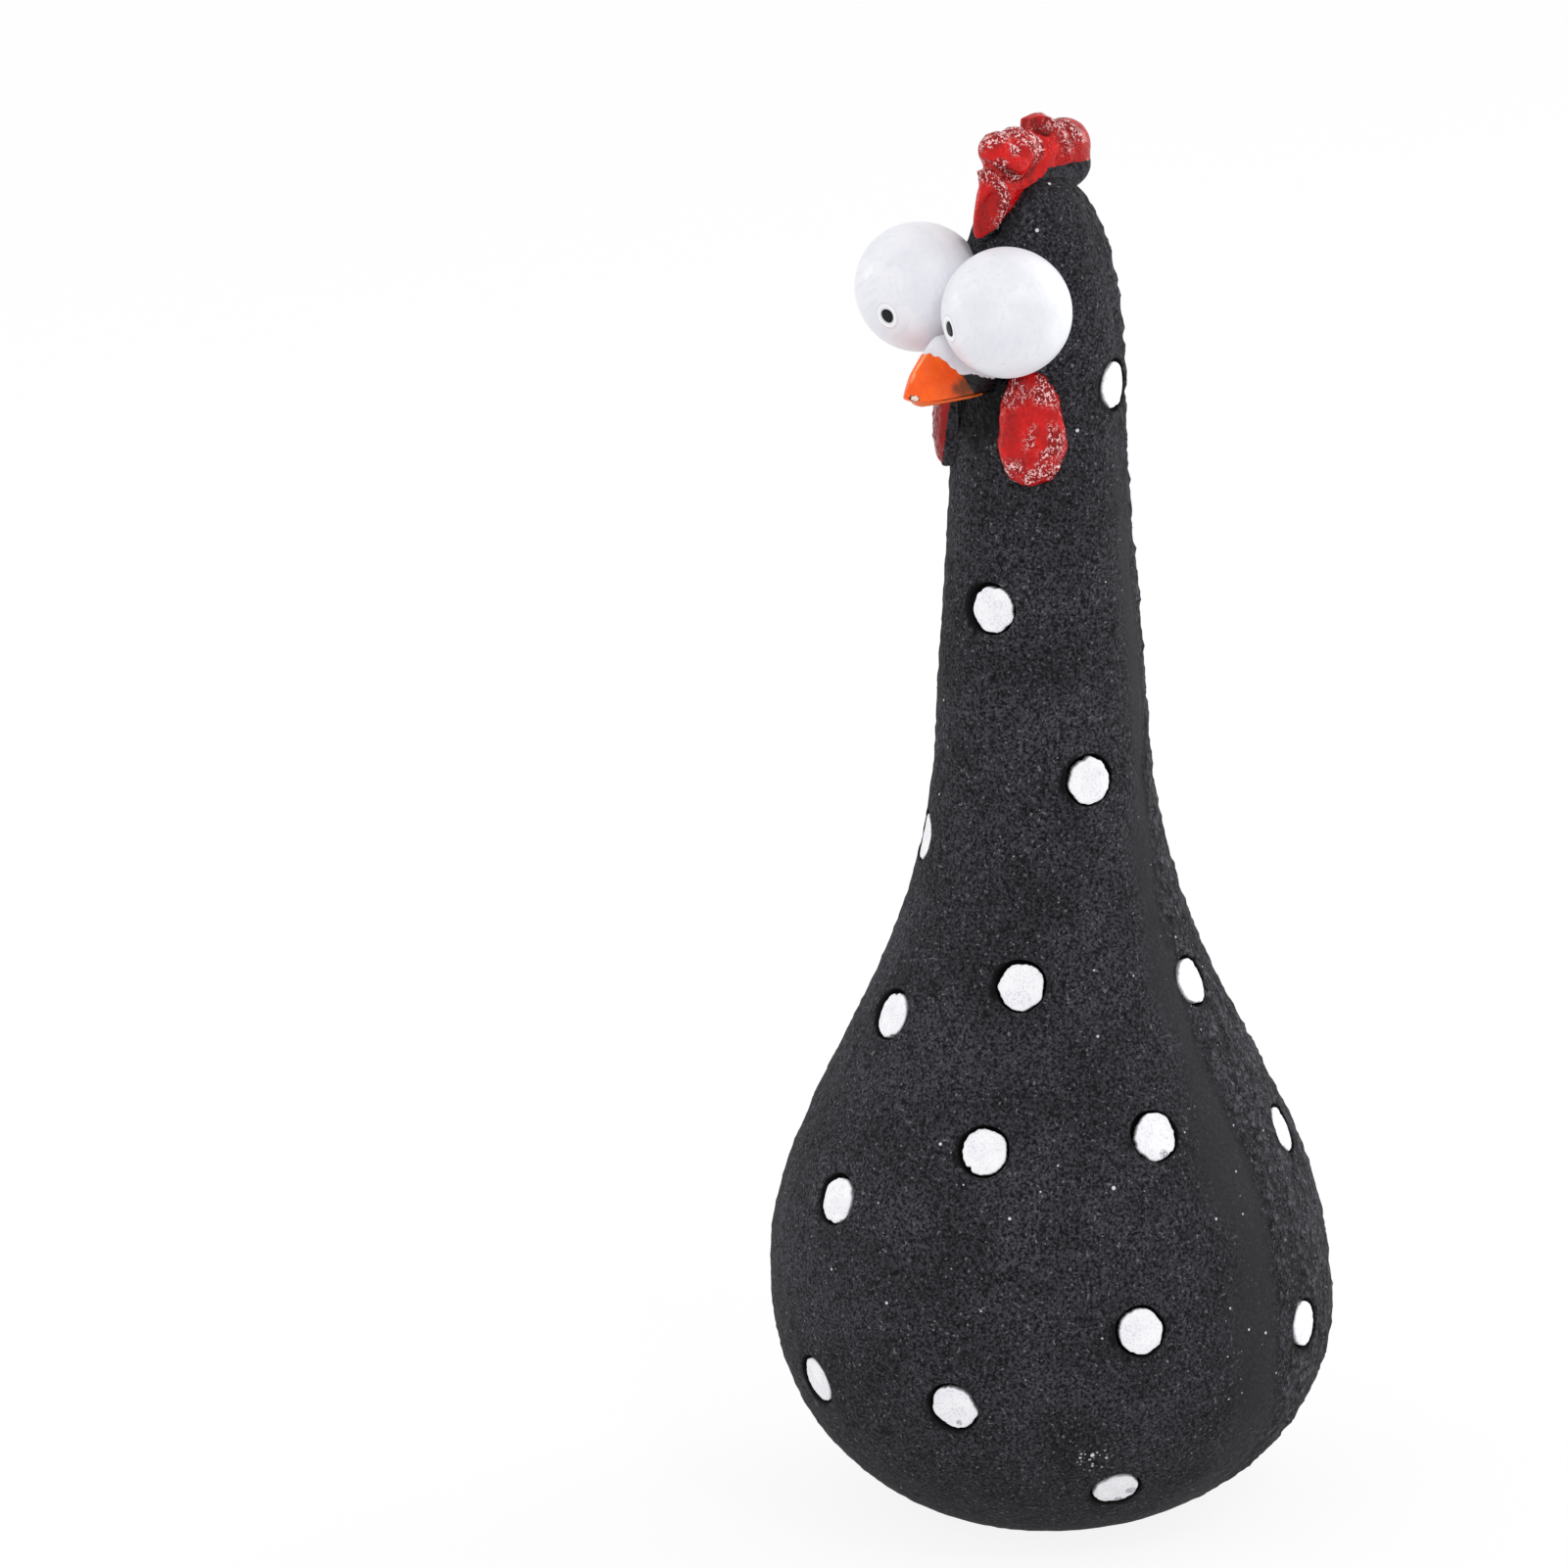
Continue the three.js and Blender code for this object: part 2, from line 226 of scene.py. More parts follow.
# A value mapped from one span to another, smoothly or straight
def spanNode(value, low, high, toLow=0.0, toHigh=1.0, kind="SMOOTHSTEP"):
    inputs = {"Value": value, "From Min": low, "From Max": high, "To Min": toLow, "To Max": toHigh}
    return addNode(value.id_data, "MapRange", inputs, interpolation_type=kind).outputs["Result"]


straight = "LINEAR"


# Low plus the share of the way to high
def between(share, low, high):
    return spanNode(share, 0.0, 1.0, low, high, straight)


# Two colours mixed: one minus the share of the first, plus the share of the second
def mixColour(share, first, second, blend="MIX"):
    made = addNode(treeOf(share, first, second), "Mix", data_type="RGBA", blend_type=blend)
    for name, value in (("Factor", share), ("A", first), ("B", second)):
        fill(next(s for s in made.inputs if s.enabled and s.name == name), value)
    return next(s for s in made.outputs if s.enabled)


# Coats of colour over a colour, each with its share
def paintOver(colour, *coats):
    for share, coat in coats:
        colour = mixColour(share, colour, coat)
    return colour


# A new shader group with its inputs and their defaults
def newGroup(name, **inputs):
    group = bpy.data.node_groups.new(name, "ShaderNodeTree")
    for label, default in inputs.items():
        socket = group.interface.new_socket(name=label, in_out="INPUT", socket_type="NodeSocketFloat")
        socket.default_value = default
    return group, group.nodes.new("NodeGroupInput").outputs


# Closes a group with its outputs
def closeGroup(group, **outputs):
    for label in outputs:
        group.interface.new_socket(name=label, in_out="OUTPUT", socket_type="NodeSocketFloat")
    leave = group.nodes.new("NodeGroupOutput")
    for label, value in outputs.items():
        group.links.new(value, leave.inputs[label])
    return group


# Places a group in a tree and fills its inputs
def useGroup(group, tree, **inputs):
    made = addNode(tree, "Group", node_tree=group)
    for label, value in inputs.items():
        fill(made.inputs[label.capitalize()], value)
    return made.outputs


# The object's own place in millimetres, divided by a size and moved so that layers differ
def placeNode(tree, size=1.0, offset=0.0):
    own = addNode(tree, "TexCoord").outputs["Object"]
    own = vectorNode(tree, "SCALE", {0: own, "Scale": 1 / millimetre})[0]
    divide = addNode(tree, "Math", {0: 1.0, 1: size}, operation="DIVIDE").outputs[0]
    scaled = vectorNode(tree, "SCALE", {0: own, "Scale": divide})[0]
    return vectorNode(tree, "ADD", {0: scaled, 1: (offset, offset * 0.7, offset * 1.3)})[0]


# Cloudy noise round one half
def noiseNode(place, detail=2.0, rough=0.5):
    inputs = {"Vector": place, "Scale": 1.0, "Detail": detail, "Roughness": rough}
    return addNode(place.id_data, "TexNoise", inputs).outputs["Fac"]


# The distance to the nearest of scattered points, and that point's own random colour
def cellNode(place):
    return addNode(place.id_data, "TexVoronoi", {"Vector": place, "Scale": 1.0}).outputs


# Sand cast into resin: a height of grains, their tone, a slow tone, and masks of pits and of pale grains
def makeSand():
    group, entry = newGroup("sandGrain", Size=0.6)
    size = entry["Size"]
    fine = noiseNode(placeNode(group, size, 3.0), 2.0, 0.6)
    lumps = spanNode(cellNode(placeNode(group, times(size, 1.5), 9.0))["Distance"], 0.0, 0.8, 1.0, 0.0)
    slow = noiseNode(placeNode(group, times(size, 11.0), 17.0), 3.0, 0.6)
    deep = noiseNode(placeNode(group, times(size, 1.3), 31.0), 1.0)
    return closeGroup(group, Height=plus(times(fine, 0.6), times(lumps, 0.4)), Tone=spanNode(fine, 0.3, 0.7),
                      Slow=spanNode(slow, 0.32, 0.68), Pits=spanNode(deep, 0.38, 0.30),
                      Pale=spanNode(deep, 0.66, 0.74))


# Scattered round flecks: those of the scattered points whose own random number is under the share, as far
# as their radius reaches.
def makeFlecks():
    group, entry = newGroup("flecks", Size=2.0, Share=0.3, Radius=0.1)
    cells = cellNode(placeNode(group, entry["Size"], 5.0))
    split = addNode(group, "SeparateColor", {"Color": cells["Color"]}).outputs
    chosen = mathNode("LESS_THAN", split["Red"], entry["Share"])
    near = mathNode("LESS_THAN", cells["Distance"], times(entry["Radius"], plus(split["Green"], 0.35)))
    return closeGroup(group, Mask=times(chosen, near))


# Wet paint over pebbles: a height that is fullest where the pebbles stand in clusters, a slow tone, and short
# white curls, painted highlights, where a noise crosses its middle value.
def makePebbles():
    group, entry = newGroup("pebbledPaint", Size=0.8, Curls=0.5)
    size = entry["Size"]
    place = placeNode(group, size, 21.0)
    wander = addNode(group, "TexNoise", {"Vector": place, "Scale": 1.4, "Detail": 1.0}).outputs["Color"]
    bent = vectorNode(group, "SCALE", {0: wander, "Scale": 0.9})[0]
    cells = cellNode(vectorNode(group, "ADD", {0: place, 1: bent})[0])["Distance"]
    fine = noiseNode(placeNode(group, times(size, 0.5), 2.0))
    clusters = spanNode(noiseNode(placeNode(group, times(size, 3.8), 13.0), 1.0), 0.46, 0.56)
    bumps = times(spanNode(cells, 0.0, 0.75, 1.0, 0.0), between(clusters, 0.25, 1.0))
    wave = noiseNode(placeNode(group, size, 41.0), 1.0)
    line = spanNode(mathNode("ABSOLUTE", minus(wave, 0.5)), 0.085, 0.045)
    breaks = noiseNode(placeNode(group, times(size, 1.1), 7.0), 1.0)
    kept = spanNode(minus(breaks, minus(0.72, times(entry["Curls"], 0.34))), 0.0, 0.05)
    slow = noiseNode(placeNode(group, times(size, 5.0), 8.0), 3.0)
    return closeGroup(group, Height=plus(times(bumps, 0.8), times(fine, 0.15)), Curls=times(line, kept),
                      Tone=spanNode(slow, 0.35, 0.65))


# Hand painted colour: slow blotches, and brush lines drawn out along one way
def makeBrush():
    group, entry = newGroup("brushed", Size=1.0, Stretch=8.0, Turn=0.6)
    place = placeNode(group, entry["Size"], 6.0)
    turning = {"Vector": place, "Axis": (0.3, 0.9, 0.3), "Angle": entry["Turn"]}
    split = addNode(group, "SeparateXYZ", {0: addNode(group, "VectorRotate", turning).outputs[0]}).outputs
    along = mathNode("DIVIDE", split["X"], entry["Stretch"])
    drawn = addNode(group, "CombineXYZ", {"X": along, "Y": split["Y"], "Z": split["Z"]}).outputs[0]
    slow = noiseNode(placeNode(group, times(entry["Size"], 5.0), 12.0), 3.0)
    return closeGroup(group, Lines=noiseNode(drawn, 3.0, 0.6), Blotches=spanNode(slow, 0.3, 0.7))


useSand, useFlecks = partial(useGroup, makeSand()), partial(useGroup, makeFlecks())
usePebbles, useBrush = partial(useGroup, makePebbles()), partial(useGroup, makeBrush())


# A material from a recipe that gives its colour, roughness, height and the height's depth in millimetres,
# specular level, and the weight and roughness of its clear coat if it has one.
def makeMaterial(name, recipe):
    material = bpy.data.materials.new(name)
    material.use_nodes = True
    colour, rough, height, depth, *shine = recipe(material.node_tree)
    inputs = {"Height": height, "Distance": depth * millimetre, "Strength": 1.0}
    normal = addNode(material.node_tree, "Bump", inputs).outputs["Normal"]
    labels = ("Base Color", "Roughness", "Normal", "Specular IOR Level", "Coat Weight", "Coat Roughness")
    for label, value in zip(labels, (colour, rough, normal, *shine)):
        fill(material.node_tree.nodes["Principled BSDF"].inputs[label], value)
    return material


# Reads what paintMasks keeps under a name
def maskNode(tree, name):
    return addNode(tree, "Attribute", attribute_name=name).outputs["Fac"]


# A painted border where a mask plus a fine noise passes one half, so that it wanders by the given share
# of the mask's own ramp.
def paintEdge(tree, name, wander):
    noise = noiseNode(placeNode(tree, 0.7, 3.3), 3.0, 0.6)
    return spanNode(plus(maskNode(tree, name), times(minus(noise, 0.5), wander * 2)), 0.46, 0.54)


print("shader groups made")

# Body outline: radius over height, as four cubic curves

bodyShape = {
    "footRadius": 16.4, "bellyRadius": 39.45, "bellyHeight": 31.5,
    "roundBelow": 24.7, "roundAbove": 29.0,
    "neckRadius": 14.7, "neckHeight": 113.5, "neckSweep": 40.0, "neckTaper": 0.047,
    "headRadius": 11.95, "headHeight": 161.0,
    "crownHeight": 192.0, "crownRise": 0.613, "crownRound": 8.1,
    "rows": 250, "columns": 288, "lean": 0.85, "leanTurn": 47.0,
    "handUneven": 0.16, "frontGrain": 0.5, "backGrain": 1.1,
    "wall": 5.2, "seatRadius": 13.5, "seatDepth": 2.7,
    "mouthRadius": 11.0, "floorThickness": 6.0, "hollowTop": 149.0,
}


# A cubic curve: the four corners mixed by (1-t)^3, 3(1-t)^2 t, 3(1-t) t^2 and t^3
def cubicCurve(a, b, c, d, count=160):
    t = np.linspace(0, 1, count)[:, None]
    a, b, c, d = (np.array(p, float) for p in (a, b, c, d))
    return a * (1 - t) ** 3 + 3 * b * (1 - t) ** 2 * t + 3 * c * (1 - t) * t ** 2 + d * t ** 3


# Foot to belly, belly to neck, neck to head and head to crown, one cubic curve each, and the length along
# them: the sum of the steps between their points.
def bodyOutline(shape):
    foot, belly, neck, head = valuesOf(shape, "footRadius bellyRadius neckRadius headRadius")
    bellyAt, neckAt, headAt, crown = valuesOf(shape, "bellyHeight neckHeight headHeight crownHeight")
    taper, sweep, below, above = valuesOf(shape, "neckTaper neckSweep roundBelow roundAbove")
    third = (headAt - neckAt) / 3
    rise = headAt + shape["crownRise"] * (crown - headAt)
    corners = [
        ((foot, 0), (foot, 0), (belly, bellyAt - below), (belly, bellyAt)),
        ((belly, bellyAt), (belly, bellyAt + above), (neck + taper * sweep, neckAt - sweep), (neck, neckAt)),
        ((neck, neckAt), (neck - taper * third, neckAt + third), (head, headAt - third), (head, headAt)),
        ((head, headAt), (head, rise), (shape["crownRound"], crown), (0, crown)),
    ]
    parts = [cubicCurve(*four) for four in corners]
    line = np.concatenate([parts[0]] + [p[1:] for p in parts[1:]])
    length = np.concatenate([[0], np.cumsum(np.linalg.norm(np.diff(line, axis=0), axis=1))])
    return line[:, 0], line[:, 1], length


outRadius, outHeight, outLength = bodyOutline(bodyShape)


# The outline's radius at a height, read between its points
def radiusAt(height):
    return np.interp(height, outHeight, outRadius)


# Radius and height of the outline at a length along it from the foot
def outlineAt(along):
    return np.interp(along, outLength, outRadius), np.interp(along, outLength, outHeight)


# How far the hand made surface stands off the turned one: two sizes of slow lumps
def handUneven(points):
    return bodyShape["handUneven"] * (0.65 * softNoise(points, 21.0, 11) + 0.35 * softNoise(points, 8.5, 12))


# How far the lower body stands to one side: in full from 10 to 22 mm up
def leanOver(height):
    return bodyShape["lean"] * ramp(height, -2, 10) * (1 - ramp(height, 22, 42))


# A point of the body from its turn in radians, its length along the outline and its lift: the outline
# turned about the upright axis, plus the lift and the hand's unevenness along the outline's own direction
# turned a quarter, plus the lean.
def onBody(turn, along, lift):
    radius, height = outlineAt(along)
    (r1, z1), (r0, z0) = outlineAt(along + 0.25), outlineAt(along - 0.25)
    size = np.hypot(r1 - r0, z1 - z0) + 1e-9
    flat = np.stack([radius * np.cos(turn), radius * np.sin(turn), height + 0 * turn], -1)
    push = lift + handUneven(flat)
    reach = radius + push * (z1 - z0) / size
    lean, way = leanOver(height), math.radians(bodyShape["leanTurn"])
    x = reach * np.cos(turn) + lean * math.cos(way)
    y = reach * np.sin(turn) + lean * math.sin(way)
    return np.stack([x, y, height + push * (r0 - r1) / size], -1)


# Spots: where they are, and the pockets they lie in

spotShape = {
    "radius": 3.2, "ring": 0.46, "sink": 0.2, "depth": 1.45, "pocketDepth": 1.75,
    "lipFlare": 0.25, "wobble": 0.026, "nick": 0.10, "offCentre": 0.2,
    "columns": 72, "pocketColumns": 48,
}
seenSpots = [
    (0.849, 21), (0.693, -74), (0.568, -17), (0.51, -127), (0.427, -52), (0.411, 21),
    (0.391, -104), (0.318, -59), (0.323, -14), (0.292, 36), (0.266, -98), (0.193, -24),
    (0.161, 21), (0.135, -63), (0.125, -102), (0.062, -27),
]
backSpots = [
    (0.792, 128), (0.688, -178), (0.625, 84), (0.438, 92), (0.406, 162), (0.396, -154),
    (0.318, 80), (0.297, 125), (0.328, 172), (0.286, -143), (0.193, 64), (0.151, 108),
    (0.188, 151), (0.161, -150), (0.068, 76), (0.068, -166),
]
spotPlaces = seenSpots + backSpots


# The rim of a spot over its turn: its radius plus waves with random heights and starts, less a few short
# nicks.
def spotRim(radius, seed, angles, wobble, nick):
    dice = np.random.default_rng(seed)
    rim = np.zeros_like(angles)
    for waves in range(2, 9):
        rim += dice.normal(0, wobble / waves ** 0.6) * np.cos(waves * angles + dice.uniform(0, 2 * math.pi))
    jitter = dice.normal(0, 0.019, len(angles)) * (wobble > 0.02)
    rim += (jitter + np.roll(jitter, 1)) / 2
    for _ in range(5):
        gap = np.angle(np.exp(1j * (angles - dice.uniform(0, 2 * math.pi))))
        rim -= nick * dice.uniform(0, 1) ** 2 * np.exp(-(gap / 0.1) ** 2)
    return radius * (1 + rim)


# Rings round a spot's centre laid on the body: across and up are lengths on its surface, so that the turn
# is the length across over the radius there. What the lean carries a spot sideways is taken off.
def spotRings(index, reach, lifts, shift=(0, 0)):
    share, turn = spotPlaces[index]
    height = share * bodyShape["crownHeight"]
    angles = turnsOf(reach.shape[1])
    carried = leanOver(height) * math.sin(math.radians(bodyShape["leanTurn"] - turn))
    across = reach * np.cos(angles) + shift[0] - carried
    along = np.interp(height, outHeight, outLength) + (reach * np.sin(angles) + shift[1])
    return onBody(math.radians(turn) + across / outlineAt(along)[0], along, lifts)


# Body with its pockets, seat, mouth and hollow


# The body's whole surface as one profile turned about the upright axis: down the outside from the crown,
# over the foot, round the seat and mouth below, and up the hollow inside.
def makeBody(shape):
    rows, columns, frontGrain, backGrain = valuesOf(shape, "rows columns frontGrain backGrain")
    along = np.linspace(outLength[-1] - 0.5, 0.4, rows)[:, None] * np.ones(columns)
    outside = onBody(turnsOf(columns) * np.ones((rows, 1)), along, 0.0)
    grain = 0.6 * grains(outside, 2.3, 21) + 0.4 * grains(outside, 1.4, 22)
    size = frontGrain + (backGrain - frontGrain) * ramp(seamAngle(outside), -4, 14)
    lift = size * (grain - grain.mean()) * (1 - 0.85 * bandMask(outside))
    outside = outside + unit(outside * (1, 1, 0)) * lift[..., None]
    foot, seat, mouth = valuesOf(shape, "footRadius seatRadius mouthRadius")
    depth, floor, top = valuesOf(shape, "seatDepth floorThickness hollowTop")
    inner = np.linspace(floor + 1, top - 1, 10)
    innerRadius = np.clip(radiusAt(inner) - shape["wall"], 0.5, None)
    innerRadius[0] = min(innerRadius[0], foot - 1)
    inside = [(foot - 0.3, 0.03), (foot - 0.8, 0.0), (seat + 0.3, 0.0), (seat + 0.05, 0.1), (seat, 0.4),
              (seat, depth - 0.1), (seat - 0.1, depth), (mouth + 0.2, depth), (mouth, depth + 0.2),
              (mouth, floor - 0.2), (mouth + 0.2, floor), *zip(innerRadius, inner),
              (innerRadius[-1] * 0.6, top)]
    rings = np.concatenate([outside, turnedRings(inside, columns)])
    return closedPiece("body", rings, (0, 0, shape["crownHeight"]), (0, 0, top))


# The angle past the mould seam, in degrees: on each side of the body the seam is 7 degrees behind the
# middle at the belly and 23 at the neck.
def seamAngle(points):
    turn = np.degrees(np.arctan2(points[..., 1], np.abs(points[..., 0])))
    return turn - 7 - 16 * ramp(points[..., 2], 84, 118)


# How much the seam was rubbed smooth: full within a millimetre of it, none beyond four, and on the belly
# twice as far in front of it.
def bandMask(points):
    radius = np.hypot(points[..., 0], points[..., 1])
    away = np.abs(seamAngle(points)) * math.pi / 180 * radius
    away = away * np.where(seamAngle(points) < 0, 0.45 + 0.55 * ramp(points[..., 2], 55, 90), 1)
    faded = (1 - 0.7 * ramp(points[..., 2], 138, 156)) * (0.3 + 0.7 * ramp(points[..., 2], 6, 28))
    return faded * (1 - ramp(away + 1.3 * softNoise(points, 9.0, 31), 0.8, 4.2))


# A closed cutter for a pocket: rings from below the floor, up the wall, over the flared lip and past the
# surface.
def makeCutter(index):
    radius, ring, deep, flare, columns = valuesOf(spotShape, "radius ring pocketDepth lipFlare pocketColumns")
    rim = spotRim(radius + ring, 500 + index, turnsOf(columns), 0.014, 0.0)
    steps = [(-1.6, -deep), (-0.1, -deep), (0.0, -0.5), (0.15 * flare, -0.24), (0.55 * flare, -0.08),
             (1.3 * flare, 0.08), (2.4 * flare, 0.6), (2.4 * flare, 1.2)]
    reach, lifts = ringSteps([(rim + grow, lift) for grow, lift in steps], columns)
    return closedPiece(f"pocket{index}", spotRings(index, reach, lifts))


# All cutters joined and taken out of the body in one cut
def cutPockets(body):
    cutters = [makeCutter(i) for i in range(len(spotPlaces))]
    with bpy.context.temp_override(active_object=cutters[0], selected_editable_objects=cutters):
        bpy.ops.object.join()
    cut = body.modifiers.new("pockets", "BOOLEAN")
    cut.operation, cut.solver, cut.object = "DIFFERENCE", "EXACT", cutters[0]
    finished = bpy.data.meshes.new_from_object(body.evaluated_get(bpy.context.evaluated_depsgraph_get()))
    body.modifiers.clear()
    body.data = finished
    bpy.data.objects.remove(cutters[0])


body = makeBody(bodyShape)
cutPockets(body)
print("body made:", len(body.data.polygons), "faces")


# How deep a point is inside the nearest pocket: 0 at the body's surface or outside, 1 at the floor
def pocketMask(points):
    mask = np.zeros(len(points))
    for index in range(len(spotPlaces)):
        rings = spotRings(index, np.array([[0.0], [3.0]]) * np.ones(12), np.zeros((2, 12)))
        centre = rings[0, 0]
        outward = unit(np.cross(rings[1, 0] - centre, rings[1, 3] - centre))
        offset = points - centre
        depth = -offset @ outward
        aside = np.linalg.norm(offset + depth[:, None] * outward, axis=1)
        inside = (aside < 4.3) & (np.abs(depth) < 2.4)
        mask = np.where(inside, np.maximum(mask, ramp(depth, 0.12, 0.5)), mask)
    return mask


# Smooth black paint on the face: round the eyes' seat, behind the beak and round the comb
bodyPoints = pointsOf(body)
toComb = np.abs(bodyPoints[:, 0]) + 40 * (bodyPoints[:, 2] < 184)
face = nearTo(bodyPoints, (0, -13, 166), (9.5, 8, 11.5), 0.85, 1.1, 0.12 * softNoise(bodyPoints, 3.0, 51))
paintMasks(body, pocket=pocketMask(bodyPoints), rubbed=bandMask(bodyPoints),
           coarse=ramp(seamAngle(bodyPoints), -3, 10),
           satin=np.maximum(face, 0.6 * (1 - ramp(toComb, 2.8, 4.2))))

# Stray drops of white paint: the middle and radius of each, in millimetres
paintDrops = [
    ((0.9, -8.2, 185.5), 0.42), ((6.1, -5.6, 185.5), 0.40), ((3.8, -1.0, 190.9), 0.35),
    ((29.9, -15.4, 56.3), 0.42), ((30.0, -15.3, 55.7), 0.36), ((29.6, -7.0, 63.1), 0.34),
    ((30.8, -20.7, 19.0), 0.45), ((30.5, -21.8, 20.4), 0.33), ((31.2, -19.3, 18.2), 0.36),
    ((30.9, -21.0, 18.1), 0.32), ((21.9, -27.4, 52.8), 0.33), ((10.3, -29.5, 61.3), 0.32),
    ((11.5, -3.5, 158.0), 0.34), ((8.1, -38.0, 39.7), 0.30),
]
# A patch of fine white drops near the foot, and the chipped places of the spots' paint
drySplash = [((30.6, -20.4, 18.4), 3.0)]
spotChips = [((31.4, -7.0, 59.6), 1.0), ((18.2, -34.3, 23.5), 1.1), ((30.4, -13.0, 11.4), 1.1),
             ((28.5, -13.7, 9.9), 0.8)]


# The share of the listed drops, the greatest over them: one within 0.6 of the drop's radius and nothing
# beyond 0.85 of it.
def dropMask(tree, drops):
    place, mask = placeNode(tree), 0.0
    for middle, radius in drops:
        gap = vectorNode(tree, "DISTANCE", {0: place, 1: middle})["Value"]
        mask = larger(mask, spanNode(gap, radius * 0.85, radius * 0.6))
    return mask


# Black sand in resin: fine grains, coarser ones behind the seam with painted highlights on their crests and
# painted shade in their hollows, painted shade towards the bottom, a rubbed seam, pockets darkened by painted
# shade, satin paint on the face, and white flecks and drops.
def blackResin(tree):
    sand, lumps, rocks = (useSand(tree, size=size) for size in (0.42, 1.0, 2.1))
    flecks = useFlecks(tree, size=3.0, share=0.4, radius=0.055)["Mask"]
    dust = useFlecks(tree, size=1.1, share=0.18, radius=0.09)["Mask"]
    splash = useFlecks(tree, size=0.6, share=0.8, radius=0.3)["Mask"]
    rubbed, pocket, satin, coarse = (maskNode(tree, name) for name in ("rubbed", "pocket", "satin", "coarse"))
    upright = addNode(tree, "SeparateXYZ", {0: placeNode(tree)}).outputs["Z"]
    slow = between(lumps["Slow"], 0.7, 1.2)
    # Painted shade: the colour is darkened towards the bottom, to two thirds at the foot
    slow = times(slow, spanNode(upright, 4.0, 42.0, 0.66, 1.0))
    slow = addNode(tree, "CombineXYZ", {0: slow, 1: slow, 2: slow}).outputs[0]
    colour = mixColour(sand["Tone"], (0.001, 0.001, 0.0015), (0.055, 0.054, 0.065))
    specks = times(larger(flecks, times(dust, 0.45)), 0.8)
    specks = larger(specks, dropMask(tree, paintDrops))
    specks = larger(specks, times(splash, dropMask(tree, drySplash), 0.7))
    colour = paintOver(
        mixColour(1.0, colour, slow, "MULTIPLY"),
        (times(lumps["Pits"], 0.6), (0.003, 0.003, 0.004)),
        # Behind the seam: painted highlights on the lumps' crests, and painted shade in the larger lumps'
        # hollows
        (times(coarse, spanNode(lumps["Height"], 0.45, 0.7), 0.5), (0.13, 0.129, 0.145)),
        (times(coarse, spanNode(rocks["Height"], 0.5, 0.35), 0.35), (0.002, 0.002, 0.003)),
        (times(sand["Pits"], 0.9), (0.001, 0.001, 0.0015)),
        (times(sand["Pale"], 0.7), (0.17, 0.17, 0.19)),
        (times(rubbed, 0.8), (0.015, 0.0155, 0.0185)),
        (satin, (0.002, 0.002, 0.003)),
        # The pockets round the spots: the black resin deepened to near black by painted shade, most at their
        # floors
        (pocket, (0.0012, 0.0012, 0.0016)),
        (times(specks, minus(1.0, pocket)), (0.66, 0.66, 0.68)))
    bare = minus(1.0, larger(rubbed, satin))
    rough = minus(between(bare, 0.7, 0.85), times(satin, 0.4))
    high = times(lumps["Height"], between(coarse, 0.5, 1.7))
    high = plus(times(sand["Height"], 0.6), high)
    high = plus(times(rocks["Height"], coarse, 3.0), high)
    high = times(high, minus(1.0, larger(times(rubbed, 0.85), pocket)))
    wet = times(usePebbles(tree, size=1.0, curls=0.0)["Height"], 2.2)
    height = addNode(tree, "Mix", {0: satin, 2: high, 3: wet}).outputs[0]
    return colour, rough, height, 0.36, between(satin, 0.18, 0.1)


fitPiece(body, makeMaterial("sandyBlackResin", blackResin), "black_resin", "body_shell")
print("body dressed")


# Closing disc under the statue

discShape = {"radius": 13.2, "thickness": 2.4, "round": 0.35, "columns": 96}


# A disc with rounded edges: rings of one radius and height each, closed in the middle
def makeClosingDisc(shape):
    radius, thick, soft, columns = valuesOf(shape, "radius thickness round columns")
    steps = [(radius * k, 0.0) for k in (0.25, 0.5, 0.75, 0.93)]
    steps += [(radius - soft, 0.0), (radius - 0.3 * soft, 0.3 * soft), (radius, soft), (radius, thick - soft),
              (radius - 0.3 * soft, thick - 0.3 * soft), (radius - soft, thick), (radius * 0.5, thick)]
    rings = turnedRings(steps, columns)
    rings[..., 2] += np.where(rings[..., 2] < 0.01, 0.05 + 0.05 * softNoise(rings, 5.0, 41), 0)
    return closedPiece("closingDisc", rings, (0, 0, 0.05), (0, 0, thick))


# Plain cast resin: fine sand of a slowly changing tone, with pale flecks
def discResin(tree):
    sand = useSand(tree, size=0.5)
    flecks = useFlecks(tree, size=2.8, share=0.3, radius=0.09)
    colour = mixColour(sand["Slow"], (0.014, 0.014, 0.016), (0.03, 0.03, 0.034))
    colour = mixColour(times(flecks["Mask"], 0.6), colour, (0.5, 0.5, 0.5))
    rough = between(sand["Tone"], 0.62, 0.8)
    return colour, rough, sand["Height"], 0.12


fitPiece(makeClosingDisc(discShape), makeMaterial("castDiscResin", discResin), "base_resin", "base_disc")

# Spots


